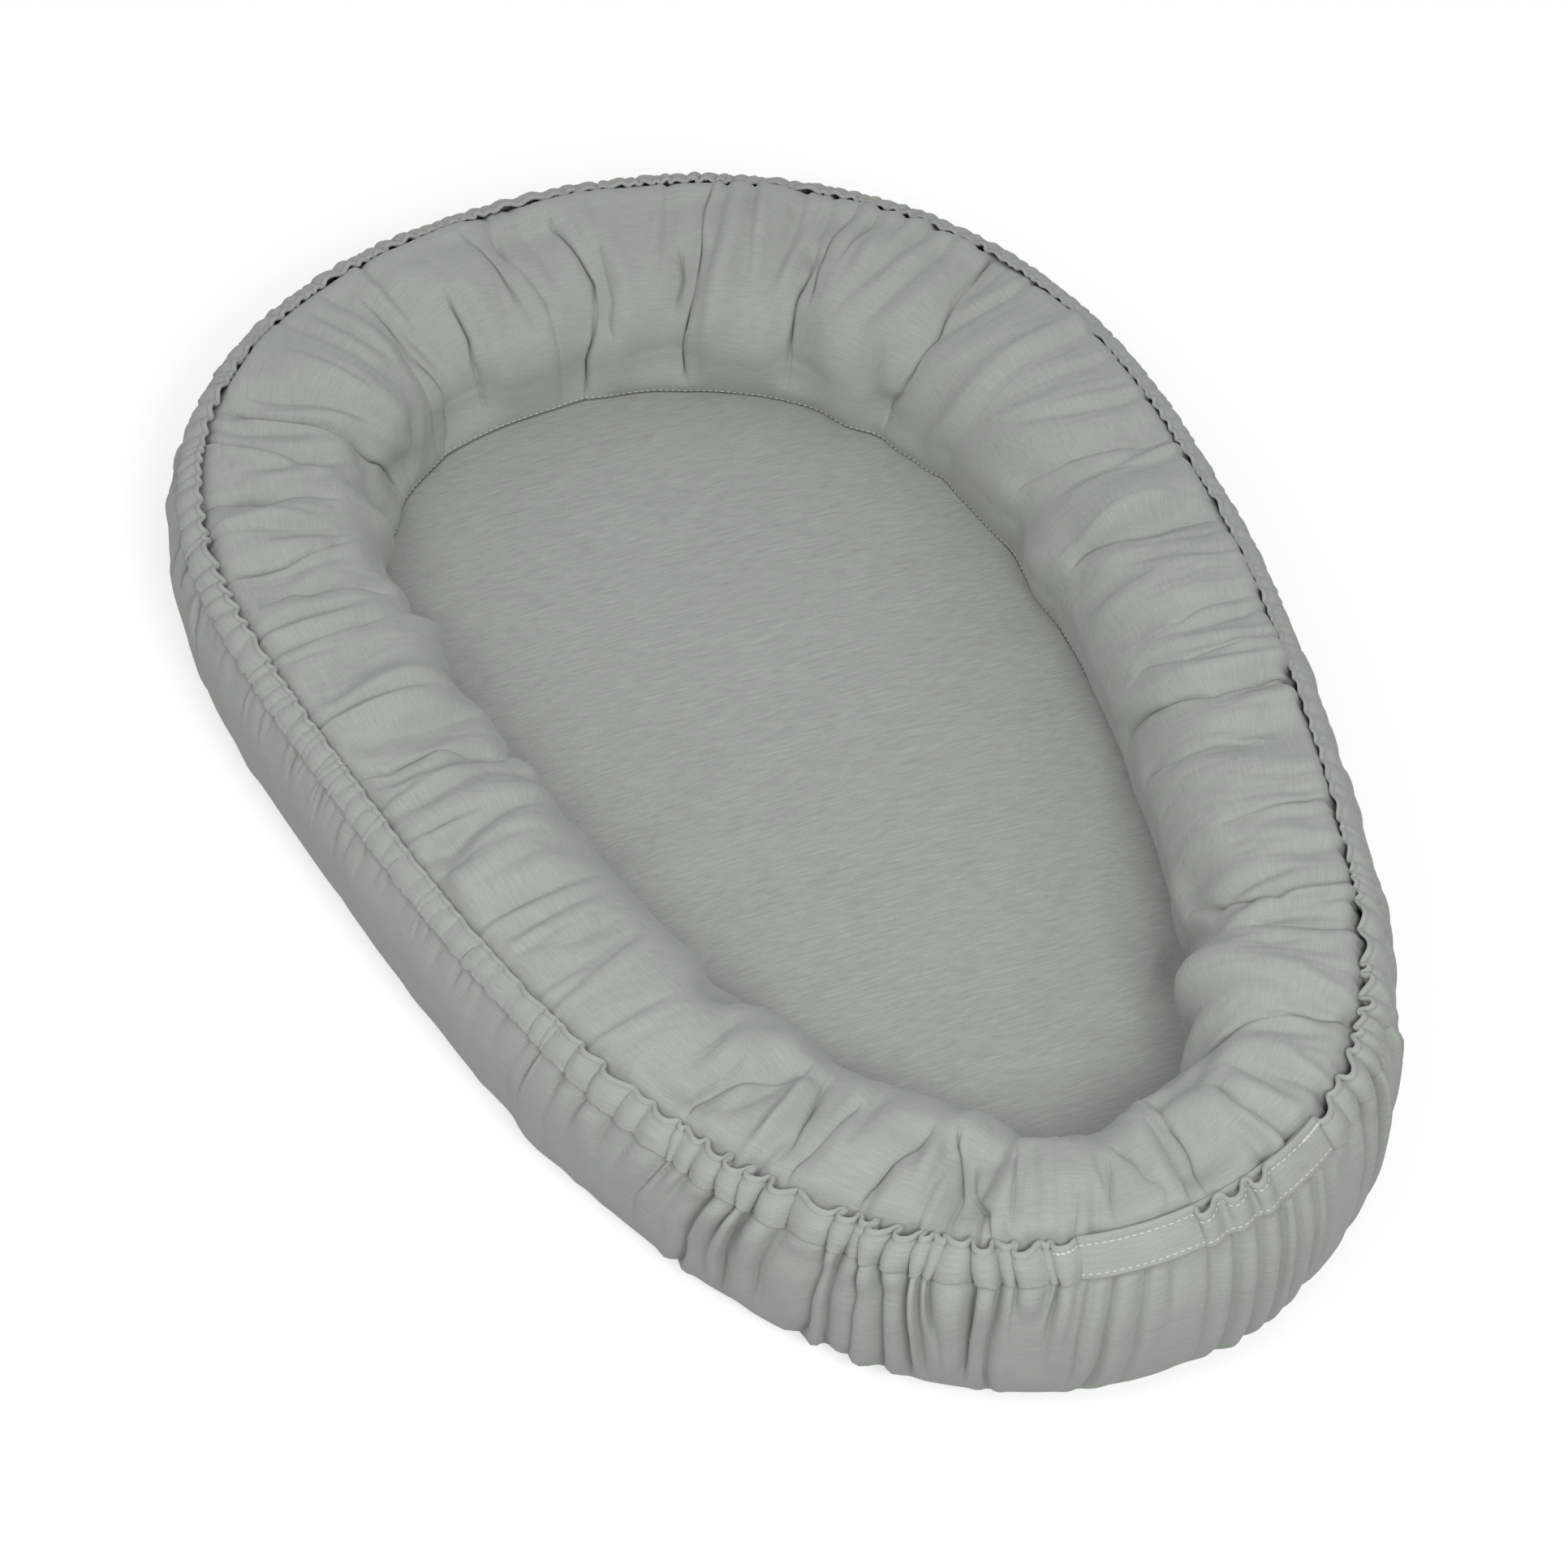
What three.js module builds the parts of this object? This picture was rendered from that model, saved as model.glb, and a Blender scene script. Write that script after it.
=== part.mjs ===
// An infant lounger: a stuffed bumper ring round a thin mattress, wrapped from below by a fitted
// skirt whose elastic hem grips the outside of the ring. Everything is cloth, thread or fibre.
// Millimetres, +Z up. The origin is on the floor under the middle, and the head end is at +Y.
import * as THREE from 'three';

// Plan of the ring. Its middle line is a rounded egg, wider towards the head, and slow waves push
// the line outwards or inwards, as a soft ring settles on the floor.
const OUTER_LENGTH = 900;
const MIDLINE_HALF_WIDTH = 235;
const HEAD_WIDER_SHARE = 0.223;
const PLAN_POWER = 2.21;
const ENDS_PUSHED_OUT = 24;
const RIGHT_PUSHED_IN = 6.4;
const DIAGONAL_PUSH = 2.9;
const THREE_SIDED_PUSH = 5.8;
const FOUR_SIDED_PUSH = 3;

// Cross-section of the bumper: mean half width and half height, and how they change round the ring.
const BUMPER_HALF_WIDTH = 58.5;
const HEAD_FATTER = 6.8;
const ENDS_FATTER = 2;
const DIAGONAL_FATTER = 3.2;
const BUMPER_HALF_HEIGHT = 61;
const FOOT_TALLER = 7.2;
const RIGHT_TALLER = 3.9;
const DIAGONAL_TALLER = 2.2;
const TOP_POWER = 2.15;
const BOTTOM_POWER = 3.4;

// Folds of the bumper cover: where they lie round the ring, how deep they are, and how far the
// cloth swells between them.
const FOLD_DEPTH = 5;
const FOLD_REACH = 11;
const PUFF_RISE = 3;
const SKIRT_PLEAT_RISE = 3.5;
const FOLD_ANGLES = [5, 20, 34, 55, 92, 113, 145, 160, 181, 206, 231, 274, 303, 328, 345];
const FOLDS_START_ANGLE = 200;
const FOLDS_FADE_ANGLE = 150;
const FOLDS_END_ANGLE = -22;
const SHOULDER_ANGLE = 2.5;
const STEP_ANGLE = 10;

// Cloth, elastic and thread. CLEARANCE is the gap between pieces that lie on each other.
const CLEARANCE = 0.3;
const COVER_CLOTH = 1.2;
const LINING_CLOTH = 0.8;
const BASE_CLOTH = 1.4;
const BACKING_CLOTH = 1;
const HEM_CLOTH = 0.8;
const ELASTIC_THICKNESS = 1;
const ELASTIC_WIDTH = 15;
const THREAD = 0.7;

// Hem: its fold and its lower edge as angles up from the outermost point of the section.
const HEM_FOLD_ANGLE = 52;
const HEM_LOWER_ANGLE = 31;
const HEM_NOSE = 2;
const HEM_RUFFLE = 2.5;
const UPPER_STITCH_DROP = 3.2;
const LOWER_STITCH_RISE = 1.6;

// Closing placket at the foot, between two places round the ring.
const PLACKET_FROM_ANGLE = 170;
const PLACKET_TO_ANGLE = 196;
const PLACKET_CLOTH = 1;
const TACK_WIDTH = 1.6;
const TACK_LENGTH = 14;

// Mattress and base.
const MATTRESS_HEIGHT = 30;
const MATTRESS_CROWN = 5;
const SEAM_STITCH_RISE = 1.5;
const SKIRT_LOWER_ANGLE = -58;
const BASE_SEAM_WIDTH = 3;

const SAGE = new THREE.MeshStandardMaterial({ color: 0xa0a69e, roughness: 0.92, metalness: 0 });
const LINING = new THREE.MeshStandardMaterial({ color: 0xe4e3dc, roughness: 0.95, metalness: 0 });
const FIBRE = new THREE.MeshStandardMaterial({ color: 0xf1f0ea, roughness: 1, metalness: 0 });
const ELASTIC = new THREE.MeshStandardMaterial({ color: 0xeeeeec, roughness: 0.8, metalness: 0 });
const STITCHES = new THREE.MeshStandardMaterial({ color: 0xd5d8d1, roughness: 0.7, metalness: 0 });

const FULL_TURN = 360;
const rad = THREE.MathUtils.degToRad;
const wave = (turns, angle) => Math.sin(rad(turns * angle));
const bulge = (turns, angle) => Math.cos(rad(turns * angle));
const rounded = (value, power) => Math.sign(value) * Math.abs(value) ** (2 / power);

const halfWidth = (angle) => BUMPER_HALF_WIDTH + HEAD_FATTER * bulge(1, angle)
  + ENDS_FATTER * bulge(2, angle) + DIAGONAL_FATTER * wave(2, angle);
const halfHeight = (angle) => BUMPER_HALF_HEIGHT - FOOT_TALLER * bulge(1, angle)
  + RIGHT_TALLER * wave(1, angle) - DIAGONAL_TALLER * wave(2, angle);

// Angles round the ring run clockwise from the head, seen from above.
const SKIRT_STANDS_OUT = CLEARANCE + COVER_CLOTH + SKIRT_PLEAT_RISE;
const EGG_HALF_LENGTH = OUTER_LENGTH / 2 - SKIRT_STANDS_OUT
  - BUMPER_HALF_WIDTH - ENDS_FATTER - ENDS_PUSHED_OUT;

function eggPoint(angle) {
  const x = MIDLINE_HALF_WIDTH * rounded(wave(1, angle), PLAN_POWER);
  const y = EGG_HALF_LENGTH * rounded(bulge(1, angle), PLAN_POWER);
  return new THREE.Vector2(x * (1 + HEAD_WIDER_SHARE * bulge(1, angle)), y);
}

function outwardOf(line, angle) {
  const halfStep = 0.4;
  const along = line(angle + halfStep).sub(line(angle - halfStep)).normalize();
  return new THREE.Vector2(-along.y, along.x);
}

function midlinePoint(angle) {
  const push = ENDS_PUSHED_OUT * bulge(2, angle) - RIGHT_PUSHED_IN * wave(1, angle)
    + DIAGONAL_PUSH * wave(2, angle) - THREE_SIDED_PUSH * wave(3, angle) - FOUR_SIDED_PUSH * wave(4, angle);
  return eggPoint(angle).addScaledVector(outwardOf(eggPoint, angle), push);
}

// Stations round the ring: each fold, a shoulder on both sides of it, even steps between, and the
// two ends of the placket, which take the place of any step close to them.
function ringStations() {
  const steps = FOLD_ANGLES.flatMap((fold, i) => {
    const from = fold + SHOULDER_ANGLE;
    const to = (FOLD_ANGLES[i + 1] ?? FOLD_ANGLES[0] + FULL_TURN) - SHOULDER_ANGLE;
    const count = Math.max(1, Math.round((to - from) / STEP_ANGLE));
    return [fold, ...Array.from({ length: count + 1 }, (_, step) => from + ((to - from) * step) / count)];
  });
  const placketEnds = [PLACKET_FROM_ANGLE, PLACKET_TO_ANGLE];
  const apart = steps.filter((angle) => placketEnds.every((end) => Math.abs(angle - end) > SHOULDER_ANGLE));
  return [...apart, ...placketEnds].sort((a, b) => a - b).map(makeStation);
}

function angleToNearestFold(angle) {
  const halfTurn = FULL_TURN / 2;
  const apart = FOLD_ANGLES.map((fold) => ((angle - fold + FULL_TURN + halfTurn) % FULL_TURN) - halfTurn);
  return Math.min(...apart.map(Math.abs));
}

function makeStation(angle) {
  const middle = midlinePoint(angle);
  const outward = outwardOf(midlinePoint, angle);
  const toFold = rad(angleToNearestFold(angle)) * (EGG_HALF_LENGTH + MIDLINE_HALF_WIDTH) / 2;
  const notch = Math.exp(-((toFold / FOLD_REACH) ** 2));
  return { angle, middle, outward, notch, width: halfWidth(angle), height: halfHeight(angle) };
}

// The section of the bumper at a station. Section angle 0 is outermost, 90 the crown, 180 innermost.
// The folds fade out below the hem, where the skirt presses the cover on to the roll, and towards
// the mattress seam.
const LINING_INSET = COVER_CLOTH + CLEARANCE;
const FLOOR_LIFT = BASE_CLOTH + CLEARANCE - LINING_INSET;

function coverSwell(station, section) {
  const open = THREE.MathUtils.smoothstep(section, FOLDS_END_ANGLE, HEM_LOWER_ANGLE)
    * (1 - THREE.MathUtils.smoothstep(section, FOLDS_FADE_ANGLE, FOLDS_START_ANGLE));
  return open * (PUFF_RISE * (1 - station.notch) - FOLD_DEPTH * station.notch);
}

function sectionPoint(station, section, out) {
  const sine = Math.sin(rad(section));
  const power = sine < 0 ? BOTTOM_POWER : TOP_POWER;
  const grown = out + coverSwell(station, section);
  const across = (station.width + grown) * rounded(Math.cos(rad(section)), power);
  const plan = station.middle.clone().addScaledVector(station.outward, across);
  const up = FLOOR_LIFT + station.height + (station.height + grown) * rounded(sine, power);
  return new THREE.Vector3(plan.x, plan.y, up);
}

// The section angle at which the inner side of the bumper meets the mattress.
function seamSection(station) {
  const drop = (FLOOR_LIFT + station.height - MATTRESS_HEIGHT) / station.height;
  return 180 + THREE.MathUtils.radToDeg(Math.asin(drop ** (BOTTOM_POWER / 2)));
}

// A closed body swept through section loops. A closed sweep runs all round the ring. Each patch is
// split from its higher corner here to its lower corner there, so that sheets that lie on each
// other bend along the same lines.
function sweptBody(loops, closed = true) {
  const size = loops[0].length;
  const faces = [];
  const bands = closed ? loops.length : loops.length - 1;
  for (let band = 0; band < bands; band += 1) {
    const next = (band + 1) % loops.length;
    for (let i = 0; i < size; i += 1) {
      const j = (i + 1) % size;
      const [a, b, c, d] = [band * size + i, next * size + i, next * size + j, band * size + j];
      if (loops[band][i].z >= loops[band][j].z) faces.push(a, b, c, a, c, d);
      else faces.push(a, b, d, b, c, d);
    }
  }
  if (!closed) {
    const last = (loops.length - 1) * size;
    for (let i = 1; i < size - 1; i += 1) faces.push(0, i, i + 1, last, last + i + 1, last + i);
  }
  return bodyOf(loops.flat(), faces);
}

// A closed pillow: loops run from the middle of the top out over the edge to the middle of the bottom.
function discBody(topMiddle, loops, bottomMiddle) {
  const size = loops[0].length;
  const top = loops.length * size;
  const last = top - size;
  const faces = [];
  for (let i = 0; i < size; i += 1) {
    const j = (i + 1) % size;
    for (let here = 0; here < last; here += size) {
      const there = here + size;
      faces.push(here + i, here + j, there + j, here + i, there + j, there + i);
    }
    faces.push(top, j, i, top + 1, last + i, last + j);
  }
  return bodyOf([...loops.flat(), topMiddle, bottomMiddle], faces);
}

// Makes the geometry, and turns its faces round if the loops ran so that they pointed inwards.
function bodyOf(points, faces) {
  let volume = 0;
  for (let i = 0; i < faces.length; i += 3) {
    const [a, b, c] = [points[faces[i]], points[faces[i + 1]], points[faces[i + 2]]];
    volume += a.dot(b.clone().cross(c));
  }
  const geometry = new THREE.BufferGeometry();
  geometry.setAttribute('position', new THREE.Float32BufferAttribute(points.flatMap((p) => p.toArray()), 3));
  geometry.setIndex(volume < 0 ? faces.reverse() : faces);
  geometry.computeVertexNormals();
  return geometry;
}

// Bumper: cover, lining sleeve and fibre roll, one inside the other.
const COVER_SECTIONS = [165, 132, 105, 78, HEM_FOLD_ANGLE, HEM_LOWER_ANGLE, 0, -22, -50];
const LINING_SECTIONS = [132, 78, HEM_LOWER_ANGLE, -22, -50, -86];
const UNDER_ANGLE = 232;
const SLOT_ANGLE = 266;

const sleeveSections = (station) => [SLOT_ANGLE, UNDER_ANGLE, seamSection(station), ...LINING_SECTIONS];

// The loop of a sheet of one thickness that follows a run of section angles.
function sheetLoop(station, sections, outerOut, thickness) {
  const outer = sections.map((section) => sectionPoint(station, section, outerOut));
  const inner = sections.map((section) => sectionPoint(station, section, outerOut - thickness));
  return [...outer, ...inner.reverse()];
}

function bumperCover(stations) {
  return sweptBody(stations.map((station) => (
    sheetLoop(station, [seamSection(station), ...COVER_SECTIONS], 0, COVER_CLOTH))));
}

function bumperLining(stations) {
  return sweptBody(stations.map((station) => (
    sheetLoop(station, sleeveSections(station), -LINING_INSET, LINING_CLOTH))));
}

function bumperFill(stations) {
  const out = -(LINING_INSET + LINING_CLOTH + CLEARANCE);
  return sweptBody(stations.map((station) => (
    sleeveSections(station).map((section) => sectionPoint(station, section, out)))));
}

// A point on the straight line between two section angles, by its distance from the first.
function linePoint(station, from, to, distance, out) {
  const start = sectionPoint(station, from, out);
  const length = sectionPoint(station, from, 0).distanceTo(sectionPoint(station, to, 0));
  return start.lerp(sectionPoint(station, to, out), distance / length);
}

// The loop of a flat strip on such a line, between two distances, lying a given way out.
function stripLoop(station, [from, to], [low, high], out, thickness) {
  return [[low, 0], [low, thickness], [high, thickness], [high, 0]]
    .map(([distance, rise]) => linePoint(station, from, to, distance, out + rise));
}

// Hem. The casing is one cloth folded over the elastic, open along its lower edge.
const HEM = [HEM_LOWER_ANGLE, HEM_FOLD_ANGLE];
const ELASTIC_OUT = CLEARANCE + HEM_CLOTH + CLEARANCE;
const CASING_OUTSIDE = ELASTIC_OUT + ELASTIC_THICKNESS + CLEARANCE + HEM_CLOTH;

function hemWidth(station) {
  return sectionPoint(station, HEM_LOWER_ANGLE, 0).distanceTo(sectionPoint(station, HEM_FOLD_ANGLE, 0));
}

function hemCasing(stations) {
  const insideLeg = CLEARANCE + HEM_CLOTH;
  const outsideLeg = CASING_OUTSIDE - HEM_CLOTH;
  return sweptBody(stations.map((station) => {
    const fold = hemWidth(station);
    const nose = fold + HEM_NOSE + HEM_RUFFLE * (1 - station.notch);
    const channelTop = fold - HEM_CLOTH;
    return [
      [0, insideLeg], [channelTop, insideLeg], [channelTop, outsideLeg], [0, outsideLeg],
      [0, CASING_OUTSIDE], [fold, CASING_OUTSIDE], [nose, (CLEARANCE + CASING_OUTSIDE) / 2],
      [fold, CLEARANCE], [0, CLEARANCE],
    ].map(([distance, out]) => linePoint(station, ...HEM, distance, out));
  }));
}

function hemElastic(stations) {
  const low = (Math.min(...stations.map(hemWidth)) - ELASTIC_WIDTH) / 2;
  return sweptBody(stations.map((station) => (
    stripLoop(station, HEM, [low, low + ELASTIC_WIDTH], ELASTIC_OUT, ELASTIC_THICKNESS))));
}

// A row of stitches, drawn as one thread. centre(station) is its distance along the line.
function stitchRow(stations, line, centre, out, closed = true) {
  return sweptBody(stations.map((station) => {
    const middle = centre(station);
    return stripLoop(station, line, [middle - THREAD / 2, middle + THREAD / 2], out, THREAD);
  }), closed);
}

const HEM_STITCH_OUT = CASING_OUTSIDE + CLEARANCE;
const upperRow = (station) => hemWidth(station) - UPPER_STITCH_DROP;
const lowerRow = () => LOWER_STITCH_RISE;

// Closing placket: a flat strip over the hem at the foot, with its own rows and end tacks.
const PLACKET_OUT = HEM_STITCH_OUT + THREAD + CLEARANCE;
const PLACKET_STITCH_OUT = PLACKET_OUT + PLACKET_CLOTH + CLEARANCE;

function placketStations(stations) {
  return stations.filter(({ angle }) => angle >= PLACKET_FROM_ANGLE && angle <= PLACKET_TO_ANGLE);
}

function closingPlacket(stations) {
  return sweptBody(placketStations(stations).map((station) => (
    stripLoop(station, HEM, [0, hemWidth(station)], PLACKET_OUT, PLACKET_CLOTH))), false);
}

function placketTack(end, next) {
  const loopAt = (station) => {
    const high = upperRow(station) - THREAD / 2 - CLEARANCE;
    return stripLoop(station, HEM, [high - TACK_WIDTH, high], PLACKET_STITCH_OUT, THREAD);
  };
  const start = loopAt(end);
  const far = loopAt(next);
  const share = TACK_LENGTH / start[0].distanceTo(far[0]);
  return sweptBody([start, start.map((point, i) => point.clone().lerp(far[i], share))], false);
}

// Skirt: from under the casing down to the base seam, with shallow pleats between.
function skirtPleat(station, section) {
  const low = THREE.MathUtils.smoothstep(section, SKIRT_LOWER_ANGLE, 0);
  const high = 1 - THREE.MathUtils.smoothstep(section, 0, HEM_LOWER_ANGLE);
  return SKIRT_PLEAT_RISE * (1 - station.notch) * low * high;
}

function outerSkirt(stations) {
  const sections = [...COVER_SECTIONS.filter((section) => section < HEM_LOWER_ANGLE), SKIRT_LOWER_ANGLE];
  return sweptBody(stations.map((station) => {
    const face = (out) => [
      linePoint(station, ...HEM, -CLEARANCE, out),
      ...sections.map((section) => sectionPoint(station, section, out + skirtPleat(station, section))),
    ];
    return [...face(CLEARANCE + COVER_CLOTH), ...face(CLEARANCE).reverse()];
  }));
}

// Base: a flat panel on the floor, and the seam that joins the skirt to it.
function skirtFoot(station) {
  return sectionPoint(station, SKIRT_LOWER_ANGLE, CLEARANCE + COVER_CLOTH);
}

function baseSeam(stations) {
  return sweptBody(stations.map((station) => {
    const foot = skirtFoot(station);
    const inward = foot.clone().sub(vectorOf(station.outward, 0).multiplyScalar(BASE_SEAM_WIDTH));
    return [[foot, foot.z - CLEARANCE], [inward, foot.z - CLEARANCE], [inward, BASE_CLOTH + CLEARANCE],
      [foot, BASE_CLOTH + CLEARANCE]].map(([place, height]) => vectorOf(place, height));
  }));
}

function vectorOf(plan, height) {
  return new THREE.Vector3(plan.x, plan.y, height);
}

function basePanel(stations) {
  const edge = (height) => stations.map((station) => vectorOf(skirtFoot(station), height));
  return discBody(vectorOf(MIDDLE, BASE_CLOTH), [edge(BASE_CLOTH), edge(0)], vectorOf(MIDDLE, 0));
}

// Mattress: pad, top panel and backing. A ring share of 1 is the edge and 0 the middle.
const MIDDLE = new THREE.Vector2(0, 0);
const CROWN_SHARES = [0.4, 0.72, 0.94, 1];

function mattressTop(ringShare) {
  return MATTRESS_HEIGHT + MATTRESS_CROWN * (1 - ringShare ** 2);
}

function crownLoops(stations, out, drop) {
  return CROWN_SHARES.map((ringShare) => stations.map((station) => {
    const edge = sectionPoint(station, seamSection(station), out);
    return vectorOf(edge.multiplyScalar(ringShare), mattressTop(ringShare) - drop);
  }));
}

function mattressTopPanel(stations) {
  const top = crownLoops(stations, CLEARANCE, 0);
  const bottom = crownLoops(stations, CLEARANCE, COVER_CLOTH).reverse();
  const height = mattressTop(0);
  return discBody(vectorOf(MIDDLE, height), [...top, ...bottom], vectorOf(MIDDLE, height - COVER_CLOTH));
}

const SLEEVE_SIDE_OUT = CLEARANCE - LINING_INSET;
const PAD_FLOOR = BASE_CLOTH + CLEARANCE + BACKING_CLOTH + CLEARANCE;

function underLoop(stations, height) {
  return stations.map((station) => {
    const side = sectionPoint(station, UNDER_ANGLE, SLEEVE_SIDE_OUT);
    return vectorOf(side, height ?? side.z);
  });
}

function mattressPad(stations) {
  const drop = COVER_CLOTH + CLEARANCE;
  const side = [underLoop(stations), underLoop(stations, PAD_FLOOR)];
  const loops = [...crownLoops(stations, SLEEVE_SIDE_OUT, drop), ...side];
  return discBody(vectorOf(MIDDLE, mattressTop(0) - drop), loops, vectorOf(MIDDLE, PAD_FLOOR));
}

function mattressBacking(stations) {
  const low = BASE_CLOTH + CLEARANCE;
  const high = low + BACKING_CLOTH;
  const loops = [underLoop(stations, high), underLoop(stations, low)];
  return discBody(vectorOf(MIDDLE, high), loops, vectorOf(MIDDLE, low));
}

function mattressSeamStitch(stations) {
  return sweptBody(stations.map((station) => {
    const line = [seamSection(station), COVER_SECTIONS[0]];
    const reach = [SEAM_STITCH_RISE - THREAD / 2, SEAM_STITCH_RISE + THREAD / 2];
    return stripLoop(station, line, reach, CLEARANCE, THREAD);
  }));
}

// Assembly.
function buildLounger() {
  const stations = ringStations();
  const placket = placketStations(stations);
  const pieces = [
    ['base_panel', basePanel(stations), SAGE],
    ['base_seam', baseSeam(stations), SAGE],
    ['mattress_backing', mattressBacking(stations), LINING],
    ['mattress_pad', mattressPad(stations), FIBRE],
    ['mattress_top_panel', mattressTopPanel(stations), SAGE],
    ['mattress_seam_stitch', mattressSeamStitch(stations), STITCHES],
    ['bumper_fill', bumperFill(stations), FIBRE],
    ['bumper_lining', bumperLining(stations), LINING],
    ['bumper_cover', bumperCover(stations), SAGE],
    ['outer_skirt', outerSkirt(stations), SAGE],
    ['hem_casing', hemCasing(stations), SAGE],
    ['hem_elastic', hemElastic(stations), ELASTIC],
    ['hem_upper_stitch', stitchRow(stations, HEM, upperRow, HEM_STITCH_OUT), STITCHES],
    ['hem_lower_stitch', stitchRow(stations, HEM, lowerRow, HEM_STITCH_OUT), STITCHES],
    ['closing_placket', closingPlacket(stations), SAGE],
    ['placket_upper_stitch', stitchRow(placket, HEM, upperRow, PLACKET_STITCH_OUT, false), STITCHES],
    ['placket_lower_stitch', stitchRow(placket, HEM, lowerRow, PLACKET_STITCH_OUT, false), STITCHES],
    ['placket_tack_start', placketTack(placket.at(-1), placket.at(-2)), STITCHES],
    ['placket_tack_end', placketTack(placket[0], placket[1]), STITCHES],
  ];
  const lounger = new THREE.Group();
  pieces.forEach(([name, geometry, material]) => {
    const mesh = new THREE.Mesh(geometry, material);
    mesh.name = name;
    lounger.add(mesh);
  });
  const middle = new THREE.Box3().setFromObject(lounger).getCenter(new THREE.Vector3());
  lounger.position.set(-middle.x, -middle.y, 0);
  return lounger;
}

export default buildLounger();
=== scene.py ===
# %% [markdown]
# # An infant lounger, dressed round its frame
#
# The object is a baby nest: a stuffed ring of sage-green jersey round a thin mattress. The outside
# of the ring is wrapped by a fitted skirt, and an elastic runs in a hem at the top of that skirt.
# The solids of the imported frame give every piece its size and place. This lesson makes the cloth
# look like cloth: gathers, creases, ruffles, stitches and the knit itself.
#
# The frame comes first, and its box is kept, so that the dressed model can be compared with it.

# %% Load the frame
import math

import bpy
import numpy as np
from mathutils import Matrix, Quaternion, Vector


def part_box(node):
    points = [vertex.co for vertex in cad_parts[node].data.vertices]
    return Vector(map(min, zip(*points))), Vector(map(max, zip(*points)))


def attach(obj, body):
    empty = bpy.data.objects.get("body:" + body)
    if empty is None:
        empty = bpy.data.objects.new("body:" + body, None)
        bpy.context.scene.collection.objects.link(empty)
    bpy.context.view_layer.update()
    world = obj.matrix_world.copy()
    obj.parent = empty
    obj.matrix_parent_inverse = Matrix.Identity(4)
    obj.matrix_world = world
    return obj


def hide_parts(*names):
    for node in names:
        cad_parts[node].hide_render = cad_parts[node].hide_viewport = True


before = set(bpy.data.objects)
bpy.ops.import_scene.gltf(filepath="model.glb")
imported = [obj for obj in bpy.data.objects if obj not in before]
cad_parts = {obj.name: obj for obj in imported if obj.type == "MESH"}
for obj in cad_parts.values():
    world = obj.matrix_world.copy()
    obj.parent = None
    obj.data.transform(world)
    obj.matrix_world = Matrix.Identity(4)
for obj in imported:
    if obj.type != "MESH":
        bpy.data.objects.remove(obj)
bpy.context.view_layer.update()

MM = 0.001

# %% [markdown]
# ## The shape that all the cloth follows
#
# Every sheet of this object lies on one stuffed ring. The ring is described by two angles: the
# angle round the ring, clockwise from the head end, and the angle round its section, which is 0 at
# the outermost point, 90 on the crown and 180 at the innermost. A few sizes say how wide, long and
# fat the ring is in each direction. Apart from the dip at the mattress seam, they are the same
# values as in the frame's own source.

# %% Sizes of the ring, in metres, and angles in degrees
OUTER_LENGTH = 900 * MM
MIDLINE_HALF_WIDTH = 235 * MM
HEAD_WIDER_SHARE = 0.223
PLAN_POWER = 2.21
ENDS_PUSHED_OUT = 24 * MM
RIGHT_PUSHED_IN = 6.4 * MM
DIAGONAL_PUSH = 2.9 * MM
THREE_SIDED_PUSH = 5.8 * MM
FOUR_SIDED_PUSH = 3 * MM
BUMPER_HALF_WIDTH = 58.5 * MM
HEAD_FATTER = 6.8 * MM
ENDS_FATTER = 2 * MM
DIAGONAL_FATTER = 3.2 * MM
BUMPER_HALF_HEIGHT = 61 * MM
FOOT_TALLER = 7.2 * MM
RIGHT_TALLER = 3.9 * MM
DIAGONAL_TALLER = 2.2 * MM
TOP_POWER = 2.15
BOTTOM_POWER = 3.4
SKIRT_STANDS_OUT = 5 * MM
FLOOR_LIFT = 0.2 * MM
MATTRESS_HEIGHT = 30 * MM
MATTRESS_CROWN = 5 * MM
SEAM_DIP = 4 * MM
CLOTH = 1.2 * MM
CLEARANCE = 0.3 * MM
HEM_FOLD = 52
HEM_LOWER = 31
EGG_HALF_LENGTH = (OUTER_LENGTH / 2 - SKIRT_STANDS_OUT
                   - BUMPER_HALF_WIDTH - ENDS_FATTER - ENDS_PUSHED_OUT)


# %% The middle line of the ring
def unit(vectors):
    return vectors / np.linalg.norm(vectors, axis=-1, keepdims=True)


def signed_power(value, power):
    return np.sign(value) * np.abs(value) ** (2 / power)


def egg_line(angle):
    turn = np.radians(angle)
    wide = MIDLINE_HALF_WIDTH * (1 + HEAD_WIDER_SHARE * np.cos(turn))
    return np.stack([wide * signed_power(np.sin(turn), PLAN_POWER),
                     EGG_HALF_LENGTH * signed_power(np.cos(turn), PLAN_POWER)], -1)


def outward_of(line, angle):
    """The way outwards in plan, square to a line round the ring."""
    along = unit(line(angle + 0.4) - line(angle - 0.4))
    return np.stack([-along[..., 1], along[..., 0]], -1)


def middle_line(angle):
    turn = np.radians(angle)
    push = (ENDS_PUSHED_OUT * np.cos(2 * turn) - RIGHT_PUSHED_IN * np.sin(turn)
            + DIAGONAL_PUSH * np.sin(2 * turn) - THREE_SIDED_PUSH * np.sin(3 * turn)
            - FOUR_SIDED_PUSH * np.sin(4 * turn))
    return egg_line(angle) + outward_of(egg_line, angle) * push[..., None]


# The frame's origin lies under the middle of its box. The crown of the mattress panel is the
# point that the ring was drawn round, so it says how far the ring was moved.
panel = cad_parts["mattress_top_panel"].data.vertices
RING_CENTRE = np.array(max(panel, key=lambda v: v.co.z).co)[:2]
print("the ring was drawn round, mm:", (RING_CENTRE / MM).round(1))


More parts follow.
